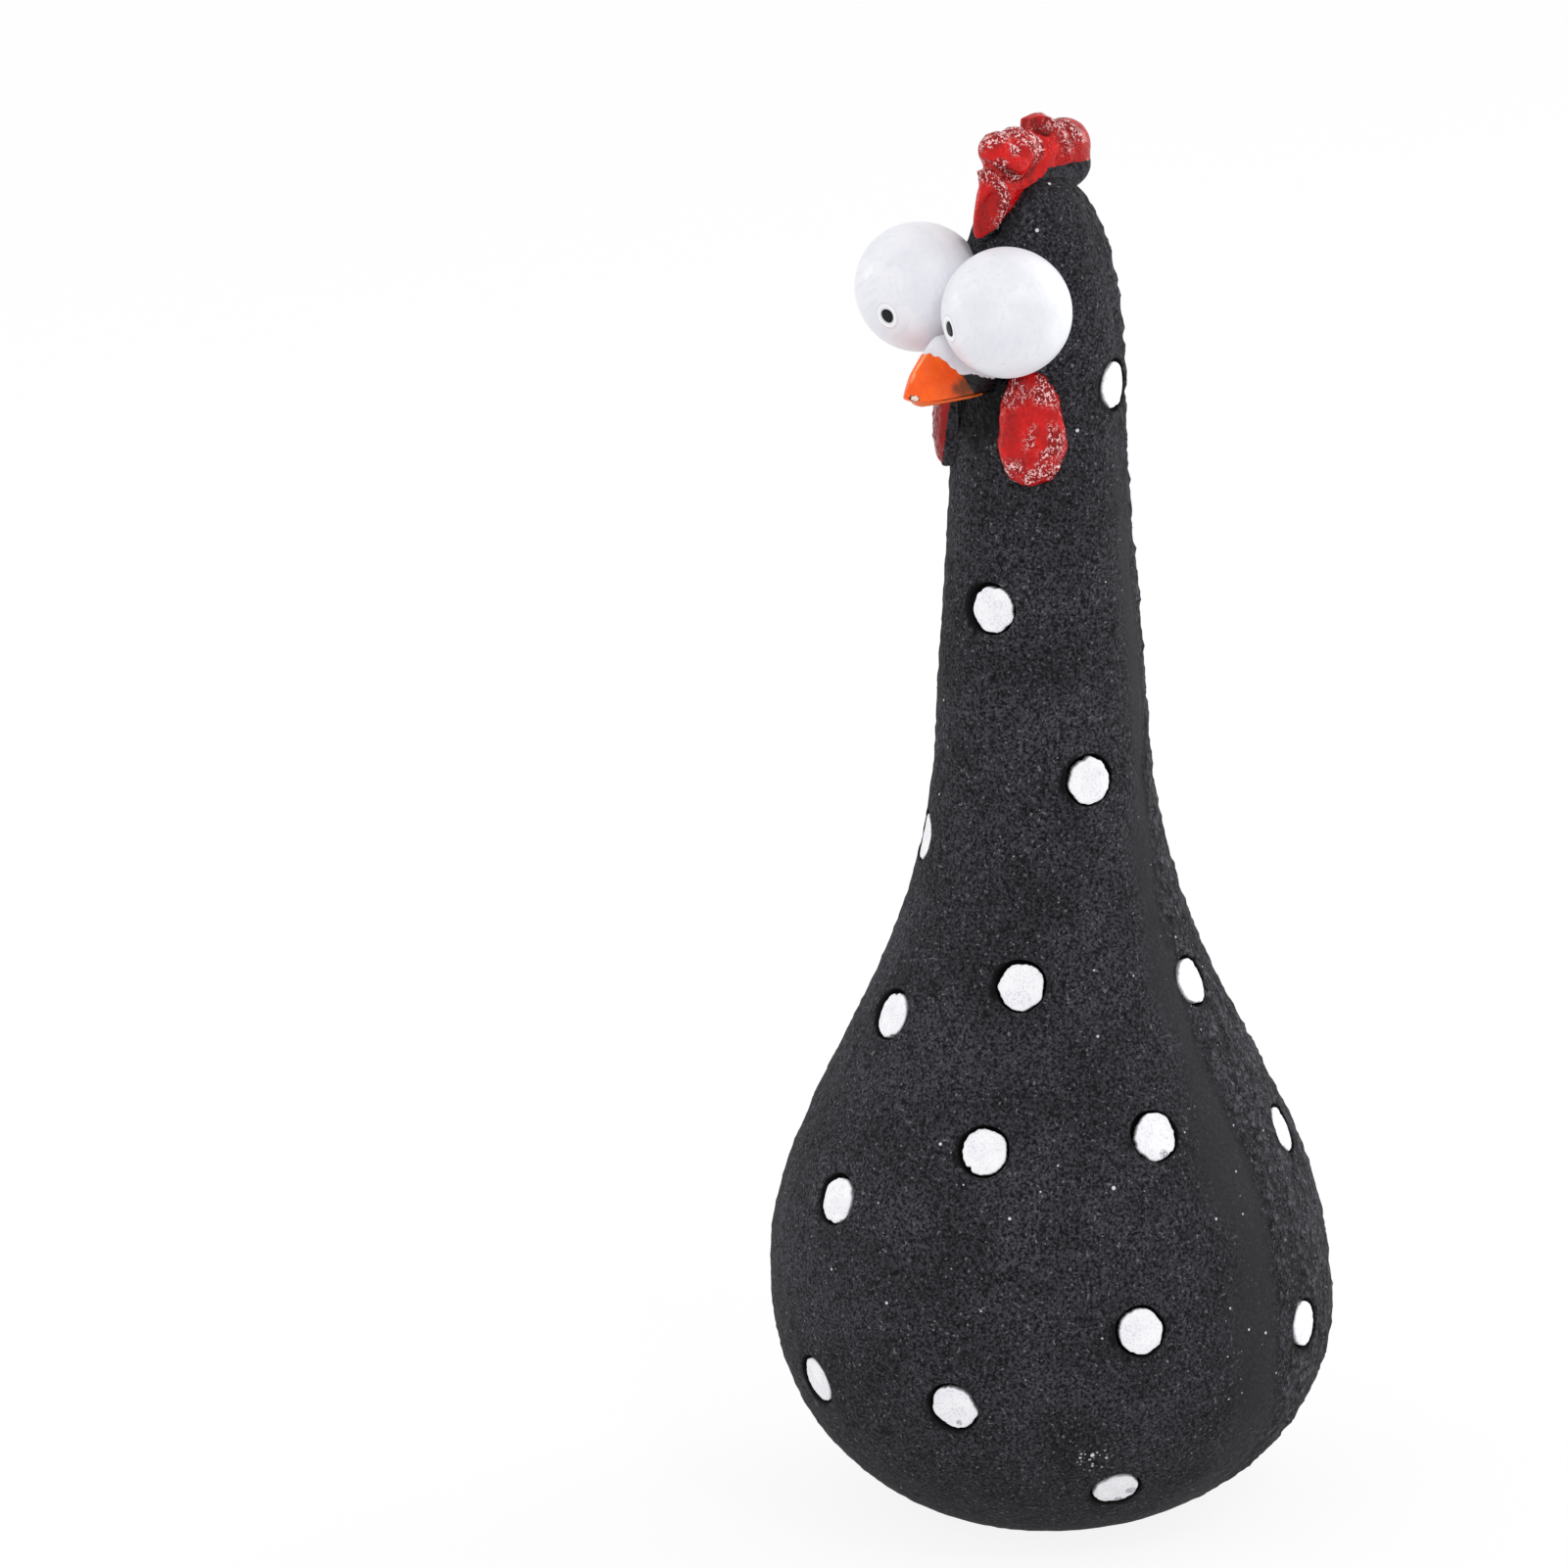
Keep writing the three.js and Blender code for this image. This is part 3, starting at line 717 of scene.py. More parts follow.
# A low dome with a rounded edge and a straight side, laid on the body's own curve
def makeSpot(index):
    columns, sink, depth, away = valuesOf(spotShape, "columns sink depth offCentre")
    wobble, nick = valuesOf(spotShape, "wobble nick")
    rim = spotRim(spotShape["radius"], 100 + index, turnsOf(columns), wobble, nick)
    tops = [(0.12, 0.02), (0.3, 0.02), (0.5, 0.015), (0.68, 0.01), (0.82, 0.0), (0.91, -0.01)]
    steps = [(rim * k, -sink + h) for k, h in tops]
    steps += [(rim - 0.14, -sink - 0.03), (rim - 0.06, -sink - 0.08), (rim - 0.01, -sink - 0.17),
              (rim, -sink - 0.3), (rim, -depth + 0.12), (rim - 0.1, -depth), (rim * 0.5, -depth)]
    reach, lifts = ringSteps(steps, columns)
    dice = np.random.default_rng(900 + index)
    way = dice.uniform(-0.5, 0.5) - 0.8
    away *= dice.uniform(0.5, 1.2)
    shift = (away * math.cos(way), away * math.sin(way))
    rings = spotRings(index, reach, lifts, shift)
    lumps = 0.035 * softNoise(rings, 0.9, 60 + index) + 0.02 * softNoise(rings, 0.45, 61 + index)
    lumps[len(tops) + 1:] = 0
    return closedPiece(f"spot{index + 1:02d}", spotRings(index, reach, lifts + lumps, shift))


# White paint over sand: blotches, grey where grains are bare, dark flecks, and grey where it is chipped
def spotPaint(tree):
    brush = useBrush(tree, size=0.5, stretch=4.0, turn=1.1)
    grain = useSand(tree, size=0.3)
    flecks = useFlecks(tree, size=0.9, share=0.10, radius=0.12)
    grey = times(spanNode(grain["Tone"], 0.4, 0.1), 0.65)
    grey = times(grey, between(brush["Blotches"], 1.0, 0.3))
    chipped = times(dropMask(tree, spotChips), spanNode(grain["Tone"], 0.2, 0.5))
    colour = paintOver(
        mixColour(brush["Blotches"], (0.87, 0.87, 0.91), (0.94, 0.94, 0.95)),
        (grey, (0.56, 0.56, 0.66)),
        (times(flecks["Mask"], 0.8), (0.12, 0.12, 0.13)),
        (times(chipped, 0.9), (0.30, 0.30, 0.34)))
    rough = spanNode(brush["Lines"], 0.3, 0.7, 0.42, 0.62, straight)
    return colour, rough, plus(times(brush["Lines"], 0.4), times(grain["Height"], 0.6)), 0.12, 0.3


whiteSpots = makeMaterial("whiteSpotPaint", spotPaint)
for spotIndex in range(len(spotPlaces)):
    fitPiece(makeSpot(spotIndex), whiteSpots, "spot_paint", f"spot_{spotIndex + 1:02d}")
print("spots made")

# Eyes and pupils

sideWords = {1: "Left", -1: "Right"}
mouthHeight = bodyShape["crownHeight"] - 28.3
eyeShape = {
    "radius": 8.9, "overlap": 0.25, "sink": 3.4, "aboveMouth": 12.5, "uneven": 0.3,
    "gazeTurn": 16.0, "gazeDrop": 11.5, "gazeUneven": 3.5,
    "pupilRadius": 0.9, "pupilStretch": 1.18, "ring": 0.3, "dimple": 0.13, "rim": 0.08,
    "columns": 144, "rows": 96, "rowsNear": 34,
}


# The middle of an eyeball: aside by its radius less half the overlap, and so far forward that its way from
# the upright axis is the body's radius there plus its own less the sink.
def eyeCentre(side):
    radius, overlap, sink, aboveMouth = valuesOf(eyeShape, "radius overlap sink aboveMouth")
    height = mouthHeight + aboveMouth - side * eyeShape["uneven"]
    apart = radius - overlap / 2
    out = radiusAt(height) + radius - sink
    return np.array([side * apart, -math.sqrt(out * out - apart * apart), height])


# Three directions for an eye: across, upwards and out along its gaze, each square to the others
def gazeAxes(side):
    turn = math.radians(eyeShape["gazeTurn"])
    drop = math.radians(eyeShape["gazeDrop"] - side * eyeShape["gazeUneven"])
    level = math.cos(drop)
    out = np.array([-side * math.sin(turn) * level, -math.cos(turn) * level, -math.sin(drop)])
    across = unit(np.cross(out, (0, 0, 1)))
    return across, np.cross(across, out), out


# A ball in rings round its gaze. Near the gaze the radius falls into a shallow oval dimple with a low
# rim, and all over it carries slow lumps.
def makeEye(side):
    radius, dimple, stretch, columns = valuesOf(eyeShape, "radius dimple pupilStretch columns")
    rows, rowsNear = valuesOf(eyeShape, "rows rowsNear")
    hole = eyeShape["pupilRadius"] + eyeShape["ring"]
    near, far = np.linspace(0.02, 0.26, rowsNear), np.linspace(0.26, math.pi - 0.03, rows - rowsNear + 1)
    away = np.append(near, far[1:])[:, None]
    sine, cosine = np.sin(turnsOf(columns))[None, :], np.cos(turnsOf(columns))[None, :]
    across, up, out = gazeAxes(side)
    direction = (np.cos(away)[..., None] * out + (np.sin(away) * cosine)[..., None] * across
                 + (np.sin(away) * sine)[..., None] * up)
    oval = radius * away * np.hypot(cosine, sine / stretch)
    dip = eyeShape["rim"] * np.exp(-((oval - hole - 0.16) / 0.17) ** 2)
    dip = dip - dimple * (1 - ramp(oval, hole - 0.2, hole + 0.02))
    centre = eyeCentre(side)
    surface = centre + direction * radius
    lumps = 0.05 * softNoise(surface, 6.0, 71) + 0.02 * softNoise(surface, 2.2, 72)
    points = centre + direction * (radius + dip + lumps)[..., None]
    back = centre - out * radius
    for part in (points, back):
        part[..., 0] = side * np.maximum(side * part[..., 0], 0.01)
    piece = closedPiece("eye" + sideWords[side], points, centre + out * (radius - dimple), back)
    # The dimple's white ring, and a grey line of painted shade just outside it
    paintMasks(piece, ring=np.exp(-((oval - hole - 0.08) / 0.2) ** 2),
               outline=np.exp(-((oval - hole - 0.42) / 0.13) ** 2))
    return piece


# A small oval button on the gaze: rings whose reach and height follow a quarter round
def makePupil(side):
    across, up, out = gazeAxes(side)
    floor = eyeCentre(side) + out * (eyeShape["radius"] - eyeShape["dimple"])
    steps = [(0.3, 0.10), (0.55, 0.095), (0.75, 0.08), (0.88, 0.055), (0.96, 0.02), (1.0, -0.03),
             (1.0, -0.3), (0.5, -0.35)]
    angles = turnsOf(40)
    dice = np.random.default_rng(81 if side > 0 else 82)
    wave = 1 + 0.03 * np.cos(2 * angles + dice.uniform(0, 6))
    wave = wave + 0.025 * np.cos(3 * angles + dice.uniform(0, 6))
    reach, lift = ringSteps(steps, len(angles))
    reach = reach * eyeShape["pupilRadius"] * wave
    rings = (floor + (reach * np.cos(angles))[..., None] * across
             + (reach * np.sin(angles) * eyeShape["pupilStretch"])[..., None] * up + lift[..., None] * out)
    return closedPiece("pupil" + sideWords[side], rings, floor + out * 0.1, floor - out * 0.35)


# White paint with two sizes of bluish brush lines, pink painted shade, a grey line of painted shade round the
# dimple's white ring, dark flecks, and black past the border.
def eyePaint(tree):
    brush = useBrush(tree, size=1.1, stretch=11.0, turn=0.7)
    fine = useBrush(tree, size=0.45, stretch=6.0, turn=2.0)["Lines"]
    flecks = useFlecks(tree, size=3.4, share=0.3, radius=0.035)
    colour = paintOver(
        mixColour(brush["Blotches"], (0.77, 0.78, 0.83), (0.84, 0.84, 0.88)),
        (times(spanNode(brush["Lines"], 0.54, 0.68), 0.3), (0.66, 0.67, 0.78)),
        (times(spanNode(fine, 0.55, 0.62), 0.25), (0.70, 0.71, 0.80)),
        # Painted shade, tinted pink, in the crease between the eyes and under them
        (times(maskNode(tree, "flush"), 0.45), (0.76, 0.60, 0.62)),
        # A grey line of painted shade round the dimple's white ring
        (times(maskNode(tree, "outline"), 0.3), (0.45, 0.46, 0.52)),
        (maskNode(tree, "ring"), (0.95, 0.95, 0.97)),
        (times(flecks["Mask"], 0.5), (0.35, 0.34, 0.36)),
        (paintEdge(tree, "blackPaint", 0.25), (0.008, 0.008, 0.010)))
    rough = spanNode(fine, 0.3, 0.7, 0.3, 0.42, straight)
    return colour, rough, plus(times(brush["Lines"], 0.6), times(fine, 0.4)), 0.07, 0.3


# Black paint with brush lines
def pupilPaint(tree):
    brush = useBrush(tree, size=0.3, stretch=3.0, turn=0.2)
    colour = mixColour(brush["Blotches"], (0.002, 0.002, 0.002), (0.008, 0.008, 0.009))
    rough = spanNode(brush["Lines"], 0.3, 0.7, 0.3, 0.5, straight)
    return colour, rough, brush["Lines"], 0.04, 0.2


# Painted shade, tinted pink, on the eyes: where they touch on their lower half, and near the beak
whiteEyes, blackPupils = makeMaterial("whiteEyePaint", eyePaint), makeMaterial("blackPupilPaint", pupilPaint)
for side, word in sideWords.items():
    eye = makeEye(side)
    place = pointsOf(eye)
    crevice = (1 - ramp(np.abs(place[:, 0]), 0.3, 1.9)) * (place[:, 2] < eyeCentre(side)[2])
    low = nearTo(place, (0, -17.5, 170), (4.5, 4.5, 4), 0.6, 1.2)
    paintMasks(eye, flush=np.clip(0.35 * crevice + 0.7 * low, 0, 1), blackPaint=0)
    fitPiece(eye, whiteEyes, "white_paint", "eye_" + word.lower())
    fitPiece(makePupil(side), blackPupils, "black_paint", "pupil_" + word.lower())
print("eyes made")

# Beak

beakShape = {
    "reach": 12.7, "root": 2.6, "bridgeReach": 8.9, "bridgeHeight": 8.2, "ridgeHeight": 6.1,
    "tipHeight": 1.3, "width": 7.2, "ridgeWidth": 5.5, "tipWidth": 2.3, "jawDepth": 0.95,
    "jawSetback": 1.2, "narrowing": 0.3, "mouthGap": 0.1, "bridgeSlope": 1.24, "bridgeProud": 0.10,
    "bulge": 0.65, "blunt": 1.35, "tipLength": 1.6,
}
faceReach = float(radiusAt(mouthHeight))


# A line through corners, rounded: it is read at even steps, and each reading is averaged with its
# neighbours by a bell curve.
def softLine(at, xs, ys, softness):
    fine = np.linspace(xs[0] - 4 * softness, xs[-1] + 4 * softness, 900)
    step = fine[1] - fine[0]
    reach = np.arange(-int(3 * softness / step), int(3 * softness / step) + 1) * step
    bell = np.exp(-(reach / softness) ** 2)
    line = np.interp(fine, xs, ys)
    smooth = np.convolve(np.pad(line, len(bell) // 2, mode="edge"), bell / bell.sum(), mode="valid")
    return np.interp(at, fine, smooth)


# Top of the beak over the mouth, and its width, over the distance in front of the face
def beakSection(ahead):
    root, bridge, reach, bulge = valuesOf(beakShape, "root bridgeReach reach bulge")
    high, ridge, tip = valuesOf(beakShape, "bridgeHeight ridgeHeight tipHeight")
    wide, ridgeWide, tipWide = valuesOf(beakShape, "width ridgeWidth tipWidth")
    crest = bridge - (high - ridge)
    marks = [-root, crest / 2, crest, bridge, reach - 0.3]
    top = softLine(ahead, marks, [high, high, high - 0.1, ridge, tip + 0.7], 0.5)
    width = softLine(ahead, marks, [wide, wide, (wide + ridgeWide) / 2, ridgeWide, tipWide], 0.6)
    bulge *= np.sin(math.pi * np.clip((ahead - bridge + 0.6) / (reach - bridge + 0.6), 0, 1))
    return top + bulge, width + 0.6 * bulge


# Rings of the beak over a distance ahead of the face: half an egg above the mouth, closed by an almost
# flat underside, with the tip drawn in by a quarter round over its last stretch.
def beakRings(ahead, columns, grow, low, high):
    reach, blunt, narrowing = valuesOf(beakShape, "reach blunt narrowing")
    top, width = (line[:, None] for line in beakSection(np.minimum(ahead, reach)))
    draw = np.sqrt(1 - (1 - np.clip((reach + grow - ahead) / blunt, 0, 1)) ** 2)[:, None]
    sine, cosine = np.sin(turnsOf(columns))[None, :], np.cos(turnsOf(columns))[None, :]
    lean = 1 - narrowing * np.maximum(sine, 0)
    across = np.sign(cosine) * np.abs(cosine) ** 0.9 * lean * (width / 2 + grow) * draw
    dome = np.where(sine > 0, sine * (top + grow - high), sine * (high - low))
    rise = high + 0.32 * (1 - draw) * top + dome * draw
    y = -(faceReach + ahead[:, None]) * np.ones_like(across)
    return np.stack([across, y, mouthHeight + rise], -1)


# Each point of each ring averaged with its neighbours, as often as asked
def roundCorners(rings, passes):
    for _ in range(passes):
        rings = (np.roll(rings, 1, axis=1) + 2 * rings + np.roll(rings, -1, axis=1)) / 4
    return rings


# The upper beak: rings at even steps, and on the round tip at steps that shrink by a sine, all pushed
# outwards by slow lumps.
def makeUpperBeak():
    root, reach, gap, tipLength = valuesOf(beakShape, "root reach mouthGap tipLength")
    tip = reach - tipLength * (1 - np.sin(np.linspace(0.05, 0.5 * math.pi - 0.06, 16)))
    ahead = np.append(np.linspace(-root, reach - tipLength, 64), tip)
    rings = roundCorners(beakRings(ahead, 96, 0.0, gap / 2 - 0.12, gap / 2 + 0.15), 4)
    lumps = 0.09 * softNoise(rings, 2.4, 91) + 0.04 * softNoise(rings, 1.0, 92)
    rings = rings + unit(rings - rings.mean(1, keepdims=True)) * lumps[..., None]
    return closedPiece("beakUpper", rings, None, rings[-1].mean(0) + (0, -0.03, 0))


# The lower beak: the same form set back and a little narrower, and whatever of it stands above the mouth
# pressed down to a fiftieth of its height.
def makeLowerBeak():
    root, reach, setback, deep, gap = valuesOf(beakShape, "root reach jawSetback jawDepth mouthGap")
    ahead = np.linspace(-root, reach - setback, 60)
    rings = beakRings(ahead + setback * ramp(ahead, 0, 8), 72, 0.0, -deep, -gap / 2)
    rings[..., 0] *= 0.97
    rings[..., 1] = -(faceReach + ahead[:, None])
    flat = np.minimum(rings[..., 2], mouthHeight - gap / 2)
    rings[..., 2] = flat + 0.02 * (rings[..., 2] - flat)
    rings = roundCorners(rings, 3)
    rings[..., 2] += 0.04 * softNoise(rings, 2.0, 93)
    return closedPiece("beakLower", rings)


# The white bridge: the beak's own form a little proud, forward to a slanting, hand painted edge, where it
# turns in and closes inside the beak.
def makeBridge():
    root, reach, bridge, slope = valuesOf(beakShape, "root reach bridgeReach bridgeSlope")
    columns = 168
    dense = np.linspace(-root, reach - 0.5, 500)
    rings = beakRings(dense, columns, beakShape["bridgeProud"], 0.9, 1.0)
    ridge = mouthHeight + beakShape["ridgeHeight"] + 0.2
    wander = 0.4 * softNoise(rings, 1.7, 94) + 0.9 * softNoise(rings, 0.8, 95)
    limit = np.minimum(bridge - slope * np.maximum(ridge - rings[..., 2], 0), bridge + 0.3) + wander
    edge = dense[np.argmax(dense[:, None] > limit, axis=0)]
    edge = (np.roll(edge, 1) + 4 * edge + np.roll(edge, -1)) / 6
    ahead = -root + np.linspace(0, 1, 56)[:, None] * (edge + root)
    columnsAt = np.arange(columns) * np.ones_like(ahead, int)
    rowsAt = np.interp(ahead, dense, np.arange(len(dense)))
    below = np.clip(np.floor(rowsAt).astype(int), 0, len(dense) - 2)
    part = (rowsAt - below)[..., None]
    skin = rings[below, columnsAt] * (1 - part) + rings[below + 1, columnsAt] * part
    inwards = skin[-1:].mean(1, keepdims=True) - skin[-1:]
    turnIn = ((0.02, -0.03), (0.05, 0.02), (0.1, 0.25), (0.35, 0.5))
    lip = [skin[-1:] + inwards * share + (0, back, 0) for share, back in turnIn]
    return closedPiece("beakBridge", np.concatenate([skin] + lip))


# Orange paint: light brush lines, a pale lower beak, a painted highlight along the ridge, dark brown in the
# creases and along the mouth, a chip that is black with a pale middle, and black past the border.
def beakPaint(tree):
    brush = useBrush(tree, size=0.9, stretch=5.0, turn=0.9)
    pebbles = usePebbles(tree, size=0.6, curls=0.0)
    lines = brush["Lines"]
    rub = spanNode(plus(maskNode(tree, "grime"), times(lines, 0.9)), 0.55, 1.4)
    worn = plus(maskNode(tree, "chip"), times(noiseNode(placeNode(tree, 0.3, 2.0)), 1.6))
    polished = times(maskNode(tree, "ridge"), spanNode(lines, 0.35, 0.5))
    colour = paintOver(
        mixColour(brush["Blotches"], (0.86, 0.078, 0.001), (1.0, 0.13, 0.002)),
        (times(spanNode(lines, 0.55, 0.7), 0.3), (1.0, 0.20, 0.02)),
        (times(maskNode(tree, "pale"), 0.6), (0.70, 0.17, 0.045)),
        # A painted highlight along the ridge
        (times(polished, 0.8), (1.0, 0.52, 0.26)),
        (times(rub, 0.9), (0.10, 0.028, 0.004)),
        (spanNode(worn, 1.24, 1.28), (0.012, 0.010, 0.010)),
        (spanNode(worn, 1.5, 1.54), (0.85, 0.70, 0.58)),
        (paintEdge(tree, "blackPaint", 0.3), (0.008, 0.008, 0.010)))
    rough = spanNode(plus(rub, lines), 0.3, 1.4, 0.22, 0.5, straight)
    return colour, rough, plus(times(pebbles["Height"], 0.35), times(lines, 0.65)), 0.14, 0.12, 0.4, 0.08


# A mask of black paint: one half at the border, and all or none 0.8 mm below or above it
def blackBelow(border, place):
    return 0.5 + 0.5 * np.clip((border - place) / 0.8, -1, 1)


# The beak's black paint begins behind a line that leans back from the mouth upwards
def beakBlack(place):
    border = 15.4 + 0.58 * (place[:, 2] - mouthHeight - 0.6)
    return blackBelow(np.where(place[:, 2] < mouthHeight, 13.6, border), -place[:, 1])


# The beak's three pieces and their masks: how near each point is to a crevice, the mouth, the chip, the
# ridge's middle line and the black paint.
def dressBeak():
    orange = makeMaterial("orangeBeakPaint", beakPaint)
    upper, lower, bridge = makeUpperBeak(), makeLowerBeak(), makeBridge()
    place = pointsOf(upper)
    ahead, above = -place[:, 1], place[:, 2] - mouthHeight
    behind = nearTo(place, (3.4, -16.6, 165.1), (1.6, 2.8, 1.7), 0.1, 1.5)
    other = nearTo(place, (-3.4, -16.2, 165.0), (1.6, 1.8, 1.4), 0.3, 1.3)
    # Dark brown beside the bridge on both sides, and along the mouth
    grime = np.maximum(behind, 0.8 * other) + 0.35 * (1 - ramp(above, 0.1, 0.5))
    # A painted highlight along the ridge's middle line, on the front of the upper beak
    polished = ramp(ahead, 18.2, 19.4) * (1 - ramp(ahead, 23.2, 24.2)) * (above > 1)
    paintMasks(upper, grime=np.clip(grime, 0, 1), pale=0,
               chip=nearTo(place, (1.1, -24.0, 164.4), (1, 1, 0.625), 0.2, 1.1),
               ridge=polished * np.exp(-((place[:, 0] - 0.25) / 0.17) ** 2), blackPaint=beakBlack(place))
    place = pointsOf(lower)
    paintMasks(lower, grime=0.35 * (1 - ramp(np.abs(place[:, 1] + 14.5), 0.5, 3.0)) + 0.12, chip=0, pale=1,
               ridge=0, blackPaint=beakBlack(place))
    place = pointsOf(bridge)
    under = np.interp(place[:, 1], [-17.2, -15.4, -13.5, -11.3], [166.8, 166.7, 165.9, 165.2])
    # Painted shade, tinted pink: a little over the whole bridge, and more towards its lower edge below 170
    # mm, under the eyes
    paintMasks(bridge, flush=0.1 + 0.35 * (1 - ramp(place[:, 2], 166, 170)), ring=0, outline=0,
               blackPaint=blackBelow(under, place[:, 2]))
    fitPiece(upper, orange, "orange_paint", "beak_upper")
    fitPiece(lower, orange, "orange_paint", "beak_lower")
    fitPiece(bridge, whiteEyes, "white_paint", "beak_bridge")


dressBeak()
print("beak made")

# Wattles

wattleShape = {
    "width": 8.9, "height": 15.8, "thickness": 6.0, "proud": 2.4, "turn": 42.0, "belowMouth": 5.0,
    "square": 0.84, "taper": 0.15, "scallop": 0.5, "pebbles": 0.7,
}


# An oval pad in rings round its outward axis: its outline is fuller below than above, its face is
# flattened, and pebbles stand on it.
def makeWattle(side):
    near = side > 0
    wide, tall, thick, square = valuesOf(wattleShape, "width height thickness square")
    height = mouthHeight - wattleShape["belowMouth"]
    out = radiusAt(height) + wattleShape["proud"] - thick / 2
    away, around = np.linspace(0.03, math.pi - 0.05, 110)[:, None], turnsOf(150)
    across, up = (np.sin(away) ** 0.86 * np.sign(part) * np.abs(part) ** square
                  for part in (np.cos(around), np.sin(around)))
    depth = np.sign(np.cos(away)) * np.abs(np.cos(away)) ** 0.62 * np.ones_like(across)
    x = across * wide / 2 * (1 - wattleShape["taper"] * up - 0.04 * up ** 2)
    y = -depth * thick / 2 * (1 - (0.12 if near else 0.3) * up)
    surface = np.stack([x, y, up * tall / 2], -1)
    seed = 110 if near else 120
    aside = np.hypot((across - 0.45) / 0.6, (up + 0.2) / 0.35)
    # Where painted highlights go: the top, a patch beside the middle and the bottom, broken by noise; on the
    # near wattle's face, and at half strength in the middle of the far one's face
    bright = np.max([ramp(up, 0.3, 0.6), 1 - ramp(aside, 0.6, 1.3), ramp(-up, 0.45, 0.65)], axis=0)
    bright = bright * ramp(softNoise(surface, 1.6, seed + 4), -0.6, 0.0)
    bright = bright * (ramp(depth, 0.1, 0.4) if near else 0.5 * ramp(depth, 0.85, 0.97))
    pebbles = wattleShape["pebbles"] * (0.35 + 0.65 * bright) * (grains(surface, 1.0, seed + 1) - 0.5)
    lumps = 0.2 * softNoise(surface, 2.6, seed) + pebbles + 0.06 * softNoise(surface, 0.6, seed + 2)
    waves = 0.7 * softNoise(surface, 2.0, seed + 3) + 0.5 * softNoise(surface, 0.9, seed + 5)
    waves = wattleShape["scallop"] * waves
    surface = surface + np.stack([across * waves, -lumps * ramp(depth, 0.0, 0.35) - out, up * waves], -1)
    turn = math.radians(side * wattleShape["turn"])
    sine, cosine = math.sin(turn), math.cos(turn)
    surface = surface @ [[cosine, sine, 0], [-sine, cosine, 0], [0, 0, 1]] + (0, 0, height)
    piece = closedPiece("wattle" + sideWords[side], surface)
    black = 1 - (ramp(depth, -0.2, 0.3) if near else ramp(depth + 0.2 * up, 0.15, 0.6))
    # Painted shade: the far wattle is darkened all over, most near its front rim; the near one has none
    shade = 0 if near else 0.65 + 0.25 * np.exp(-((depth - 0.9) / 0.12) ** 2)
    paintMasks(piece, blackPaint=np.append(black, (0, 1)), shade=shade, sparkle=bright)
    return piece


# Wet red paint over pebbles: painted shade between the pebbles where the highlights go and where the shade
# mask asks, painted white highlights in curls, and sandy black past the border.
def redPaint(tree):
    pebbles = usePebbles(tree, size=0.5, curls=0.72)
    sand = useSand(tree, size=0.5)
    sparkle = maskNode(tree, "sparkle")
    border = paintEdge(tree, "blackPaint", 0.3)
    colour = paintOver(
        mixColour(pebbles["Tone"], (0.46, 0.003, 0.003), (0.66, 0.005, 0.005)),
        # Painted shade between the pebbles, where the highlights go
        (times(sparkle, spanNode(pebbles["Height"], 0.4, 0.2), 0.8), (0.18, 0.002, 0.002)),
        # Painted shade in the comb's creases and hollows and on the far wattle, and a darker comb behind the
        # hood
        (maskNode(tree, "shade"), (0.15, 0.002, 0.002)),
        # Painted highlights: white curls
        (times(pebbles["Curls"], sparkle), (0.95, 0.56, 0.56)),
        (border, mixColour(sand["Tone"], (0.006, 0.006, 0.007), (0.055, 0.052, 0.062))))
    rough = between(border, 0.26, 0.6)
    height = plus(pebbles["Height"], times(sand["Height"], 0.15))
    return colour, rough, height, 0.3, 0.05, between(border, 0.38, 0.1), 0.06


red = makeMaterial("redCombPaint", redPaint)
for side, word in sideWords.items():
    fitPiece(makeWattle(side), red, "red_paint", "wattle_" + word.lower())
print("wattles made")

# Comb: lobes blended into one body, found along rays from its middle

combShape = {
    "middle": (0.0, -2.6, 190.8), "halfWidth": 3.4, "reach": 11.5,
    "blend": 0.28, "cut": 0.2, "rows": 170, "columns": 260,
    "lumps": 0.10, "pebbles": 0.30, "top": 199.8,
}
# Each lobe: centre, half sizes, and its lean in degrees about the X axis
combLobes = [
    ((0.0, -9.0, 188.5), (1.7, 1.9, 5.2), -15),
    ((0.2, -9.1, 192.2), (1.2, 1.3, 1.5), -10),
    ((0.0, -6.3, 189.4), (2.2, 3.2, 3.6), 30),
    ((0.1, -7.4, 195.9), (2.4, 2.6, 2.6), 0),
    ((0.3, -3.9, 195.7), (3.0, 3.2, 2.9), 0),
    ((0.5, -5.8, 193.9), (2.9, 3.1, 2.3), -15),
    ((0.1, 0.5, 194.8), (2.7, 3.4, 3.6), 0),
    ((-0.2, 0.5, 197.7), (1.8, 2.2, 2.15), 0),
    ((0.0, 5.1, 194.6), (2.9, 4.4, 3.8), -10),
    ((0.0, 6.4, 191.8), (2.7, 2.8, 3.0), 0),
    ((0.0, 1.0, 190.6), (3.0, 7.0, 3.2), 0),
]
# What is cut away: the spoon of the blade on each side, the crease over it, the notch in front, and the
# hood's hollow on each side.
combCups = [
    ((2.3, -10.3, 187.9), (2.0, 1.5, 3.4), -19),
    ((-2.3, -9.9, 188.2), (1.5, 1.3, 2.8), -19),
    ((3.1, -8.0, 193.7), (1.6, 3.4, 0.42), -32),
    ((-3.1, -7.6, 193.4), (1.6, 3.2, 0.42), -28),
    ((0.0, -10.4, 194.6), (3.0, 1.2, 0.5), 0),
    ((2.3, -0.4, 198.3), (2.3, 1.7, 1.0), -38),
    ((-2.4, -0.2, 198.1), (2.0, 1.5, 1.0), -30),
    ((2.9, 4.3, 195.9), (0.7, 0.35, 2.4), 12),
]
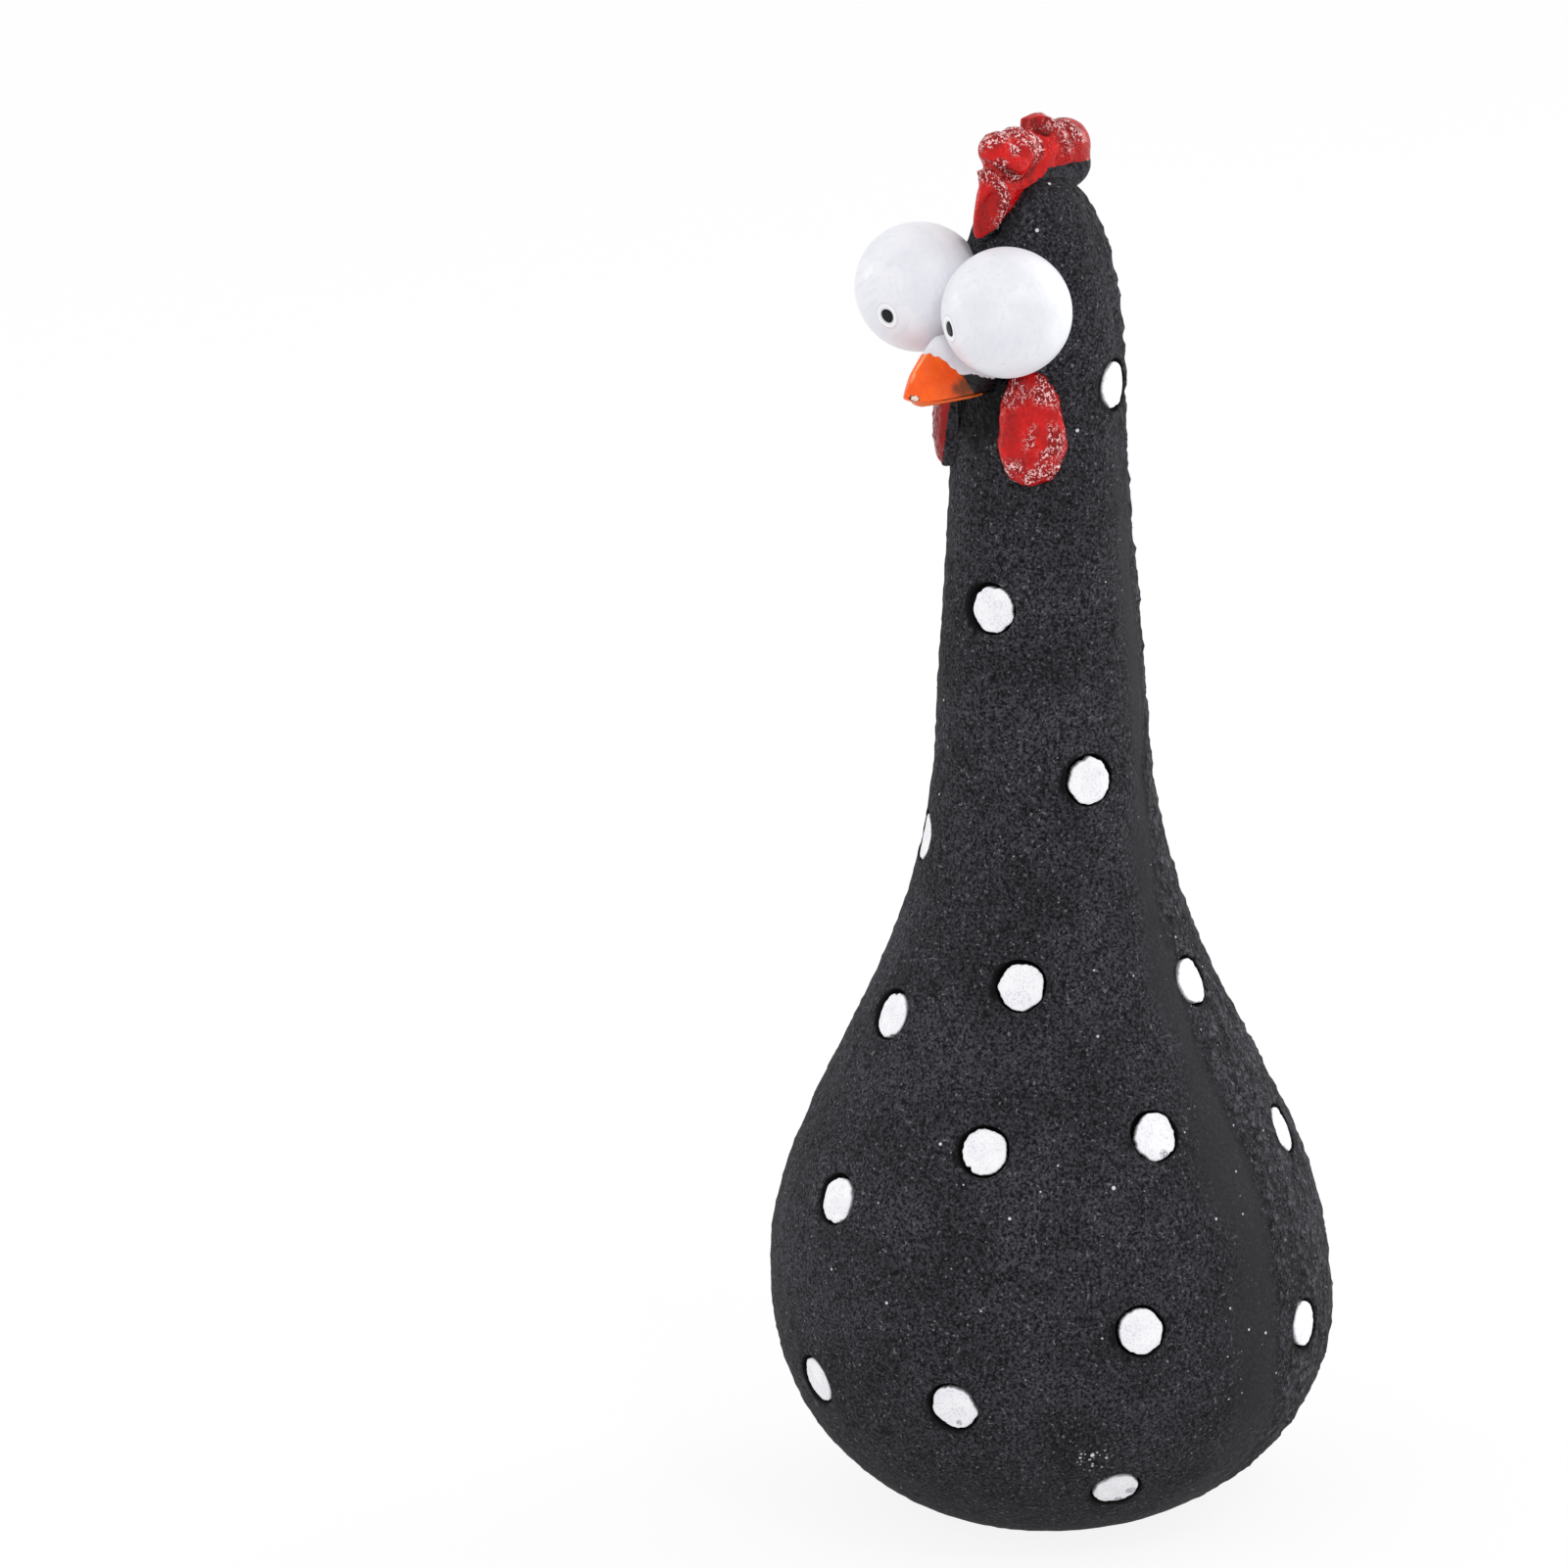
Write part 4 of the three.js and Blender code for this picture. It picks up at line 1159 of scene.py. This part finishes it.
# Raised rims as cords: their radius and the points they run through
combRims = [
    (0.5, [(1.1, -9.4, 193.2), (1.7, -8.0, 190.9), (1.8, -7.8, 188.5), (1.6, -8.6, 186.6),
           (1.2, -9.6, 185.4)]),
    (0.38, [(-1.1, -9.3, 192.9), (-1.7, -7.9, 190.4), (-1.7, -8.0, 188.0), (-1.3, -9.0, 186.0)]),
    (0.38, [(0.8, -1.7, 198.6), (0.7, -1.4, 199.3), (0.9, -0.1, 199.5), (1.6, 1.5, 198.9), (2.2, 2.6, 197.3),
            (2.7, 3.2, 195.3), (2.9, 3.5, 193.2)]),
    (0.4, [(-1.0, -1.3, 198.9), (-1.4, 1.0, 199.0), (-2.0, 3.0, 197.8), (-2.5, 4.0, 195.4),
           (-2.6, 4.2, 193.4)]),
]
# Where the paint carries painted highlights as white curls, seen from the side: a radius and a line of y and
# z
combCurls = [
    (0.8, [(-11.0, 196.2), (-10.2, 197.2), (-8.8, 198.0), (-7.1, 198.2)]),
    (1.3, [(-4.8, 198.3), (-3.6, 197.8), (-2.6, 196.5), (-1.9, 194.8)]),
    (0.5, [(-6.6, 196.5), (-6.3, 196.2)]),
    (0.5, [(-8.7, 194.8), (-7.8, 193.3), (-6.2, 192.1), (-4.7, 192.0)]),
    (0.7, [(-10.6, 193.9), (-9.3, 192.5), (-8.1, 191.0), (-7.5, 189.4), (-7.8, 187.8), (-8.7, 186.4)]),
    (0.4, [(0.6, 199.2), (1.9, 198.6), (2.9, 197.0), (3.2, 194.9)]),
    (0.8, [(3.4, 198.2), (4.7, 197.6), (6.0, 196.2)]),
]


# How far a point is inside an ellipsoid, about in millimetres: one minus its distance from the centre in
# shares of the half sizes, times their mean.
def insideLobe(points, centre, half, lean):
    sine, cosine = math.sin(math.radians(lean)), math.cos(math.radians(lean))
    x, y, z = np.moveaxis(points - centre, -1, 0)
    share = np.sqrt((x / half[0]) ** 2 + ((cosine * y + sine * z) / half[1]) ** 2
                    + ((cosine * z - sine * y) / half[2]) ** 2)
    return (1 - share) * (half[0] * half[1] * half[2]) ** (1 / 3)


# How far a point is inside a cord: its radius less the distance to the nearest stretch of it
def insideCord(points, radius, path):
    nearest = np.full(points.shape[:-1], 99.0)
    for start, end in zip(np.array(path[:-1]), np.array(path[1:])):
        run = end - start
        share = np.clip((points - start) @ run / (run @ run), 0, 1)
        nearest = np.minimum(nearest, np.linalg.norm(points - start - share[..., None] * run, axis=-1))
    return radius - nearest


# The share of painted highlights at a point of the comb: full inside one of the lines, none beyond its edge
def curlShare(points):
    flat = points * (0, 1, 1)
    shares = [insideCord(flat, radius, [(0, y, z) for y, z in line]) for radius, line in combCurls]
    return ramp(np.max(shares, axis=0) + 0.5 * softNoise(points, 1.3, 137), -0.3, 0.3)


# The soft greatest of values: the logarithm of the sum of their exponentials
def softMost(values, soft):
    return soft * np.log(sum(np.exp(np.clip(value / soft, -60, 60)) for value in values))


# The comb's field: the soft greatest of its lobes and rims, less the soft reach of its cups
def combField(points):
    cut = combShape["cut"]
    field = softMost([insideLobe(points, *lobe) for lobe in combLobes], combShape["blend"])
    carve = softMost([insideLobe(points, *cup) for cup in combCups], cut)
    rims = [insideCord(points, *rim) for rim in combRims]
    return softMost([-softMost([-field, carve], cut)] + rims, cut)


# The comb's surface: along each ray from its middle the outermost place where the field is zero, closed
# in by halving. The rays point to a flat ellipsoid with its poles at the sides.
def makeComb():
    rows, columns, halfWidth, reach = valuesOf(combShape, "rows columns halfWidth reach")
    away, around = np.linspace(0.02, math.pi - 0.02, rows)[:, None], turnsOf(columns)
    ring = reach * np.sin(away)
    x, y, z = halfWidth * np.cos(away) + 0 * around, ring * np.cos(around), ring * np.sin(around)
    direction = unit(np.stack([x, y, z], -1))
    low = np.full(direction.shape[:2], 0.4)
    for step in np.linspace(0.4, 14.5, 71):
        low = np.where(combField(combShape["middle"] + direction * step) > 0, step, low)
    high = low + 0.21
    for _ in range(9):
        centre = (low + high) / 2
        inside = combField(combShape["middle"] + direction * centre[..., None]) > 0
        low, high = np.where(inside, centre, low), np.where(inside, high, centre)
    surface = combShape["middle"] + direction * low[..., None]
    pebbles = (0.2 + 0.8 * curlShare(surface)) * (grains(surface, 0.95, 132) - 0.5)
    lumps = combShape["lumps"] * softNoise(surface, 2.2, 131) + combShape["pebbles"] * pebbles
    surface = combShape["middle"] + direction * (low + lumps)[..., None]
    surface[..., 2] = np.minimum(surface[..., 2], combShape["top"])
    return closedPiece("redComb", surface)


# The comb's paint: black under a border line, painted shade in the spoons and hoods and in creases, which are
# places with more comb 1.1 mm above them, and darker behind the hood.
def paintComb(piece):
    place = pointsOf(piece)
    y, z = place[:, 1], place[:, 2]
    border = np.interp(y, [-12, -9.8, -7.0, -4.5, -2.4, 0.2, 7.0, 10.5],
                       [183.4, 185.4, 186.8, 188.9, 191.0, 192.7, 192.6, 192.4])
    cups = [insideLobe(place, centre, np.array(half) * 1.05, lean) for centre, half, lean in combCups]
    spoons, hoods = np.max(cups[0:2], axis=0), np.max(cups[5:7], axis=0)
    normals = np.zeros(place.size)
    piece.data.vertices.foreach_get("normal", normals)
    above = combField(place + 1.1 * normals.reshape(-1, 3))
    # Painted shade in the spoons, hoods and creases, and darker behind the hood
    shade = np.max([0.4 * ramp(spoons, -0.7, 0.2), 0.85 * ramp(hoods, -0.25, 0.0),
                    0.75 * ramp(above, -0.95, -0.5), 0.35 * ramp(y, 3.0, 4.0)], axis=0)
    paintMasks(piece, blackPaint=blackBelow(border, z), shade=shade, sparkle=curlShare(place))
    return piece


fitPiece(paintComb(makeComb()), red, "red_paint", "comb")
print("comb made")

# Camera, floor and light

photoView = {
    "azimuth": 47.0, "elevation": 17.0, "roll": 0.0105, "pixelSize": 0.13635, "distance": 10000.0,
    "aimHeight": 95.445, "aimPixel": (1065.1, 864.6), "span": 1601.0, "film": 36.0,
}


# The way from the statue to a viewer at a turn and a height in degrees
def wayTo(azimuth, elevation):
    a, e = math.radians(azimuth), math.radians(elevation)
    return Vector((math.sin(a) * math.cos(e), -math.cos(a) * math.cos(e), math.sin(e)))


# The camera stands straight back from the aim point, turned a little so that the photograph's middle
# falls on the picture's.
def makeCamera(view):
    azimuth, elevation, roll, distance, span = valuesOf(view, "azimuth elevation roll distance span")
    level, upright = wayTo(azimuth + 90, 0), wayTo(azimuth, elevation + 90)
    right = level * math.cos(roll) - upright * math.sin(roll)
    up = upright * math.cos(roll) + level * math.sin(roll)
    pixel = view["pixelSize"] * millimetre
    aim = Vector((0, 0, view["aimHeight"] * millimetre))
    place = aim + wayTo(azimuth, elevation) * distance * pixel
    aimX, aimY = view["aimPixel"]
    centre = aim + right * (span / 2 - aimX) * pixel + up * (aimY - span / 2) * pixel
    forward = (centre - place).normalized()
    side = forward.cross(up).normalized()
    data = bpy.data.cameras.new("camera")
    data.sensor_width = view["film"]
    data.lens = view["film"] * distance / span
    data.clip_start, data.clip_end = 0.01, 50
    scene.camera = addObject("camera", data)
    turned = Matrix((side, side.cross(forward), -forward)).transposed().to_4x4()
    turned.translation = place
    scene.camera.matrix_world = turned


makeCamera(photoView)

# The sky's strength on the statue, and each lamp's turn and height in degrees, its distance, width and
# height in metres, and its power.
skyStrength = 0.88
lampSetup = {
    "keyLamp": (80, 50, 1.1, 0.14, 0.14, 1.35),
    "glintLamp": (-62, 16, 0.9, 0.08, 0.2, 0.8),
    "rimLamp": (165, 20, 1.0, 0.4, 0.8, 4.2),
    "fillLamp": (10, 38, 1.2, 0.2, 0.2, 0.6),
}


# A soft lamp that looks at the middle of the statue
def makeLamp(name, azimuth, elevation, distance, width, height, power):
    data = bpy.data.lights.new(name, "AREA")
    data.shape = "RECTANGLE"
    data.size, data.size_y, data.energy = width, height, power
    back = wayTo(azimuth, elevation)
    lamp = addObject(name, data)
    lamp.location = Vector((0, 0, 0.1)) + back * distance
    lamp.rotation_euler = back.to_track_quat("Z", "Y").to_euler()


for lampName, setting in lampSetup.items():
    makeLamp(lampName, *setting)


# One for rays from the camera, off mirrors and through glass, zero for all others
def seenRays(tree):
    path = addNode(tree, "LightPath").outputs
    return larger(*(path[f"Is {word} Ray"] for word in ("Camera", "Glossy", "Transmission")))


# A pale world: plain white for the camera and for mirrored rays, dimmer for the light it gives
def makeWorld(strength):
    world = bpy.data.worlds.new("paleWorld")
    world.use_nodes = True
    ground = world.node_tree.nodes["Background"]
    fill(ground.inputs["Color"], (1, 1, 1))
    fill(ground.inputs["Strength"], between(seenRays(world.node_tree), strength, 1.0))
    scene.world = world


makeWorld(skyStrength)


# A wide round floor: one ring of points and its middle. It glows white for the rays that are seen.
def makeFloor():
    radius, columns = 6, 96
    rim = [(radius * math.cos(turn), radius * math.sin(turn), 0) for turn in turnsOf(columns)]
    mesh = bpy.data.meshes.new("floor")
    mesh.from_pydata(rim + [(0, 0, 0)], [], [(i, (i + 1) % columns, columns) for i in range(columns)])
    material = bpy.data.materials.new("paleFloor")
    material.use_nodes = True
    tree = material.node_tree
    shader = tree.nodes["Principled BSDF"]
    for label, value in (("Base Color", (0.93, 0.93, 0.93)), ("Roughness", 0.9), ("Specular IOR Level", 0.1)):
        fill(shader.inputs[label], value)
    glow = addNode(tree, "Emission", {"Color": (1, 1, 1), "Strength": 1.0}).outputs[0]
    mixed = addNode(tree, "MixShader", {0: times(seenRays(tree), 0.88), 1: shader.outputs[0], 2: glow})
    fill(tree.nodes["Material Output"].inputs["Surface"], mixed.outputs[0])
    mesh.materials.append(material)
    floor = addObject("floor", mesh)


makeFloor()
scene.view_settings.view_transform = "Standard"
print("camera, floor and light made")
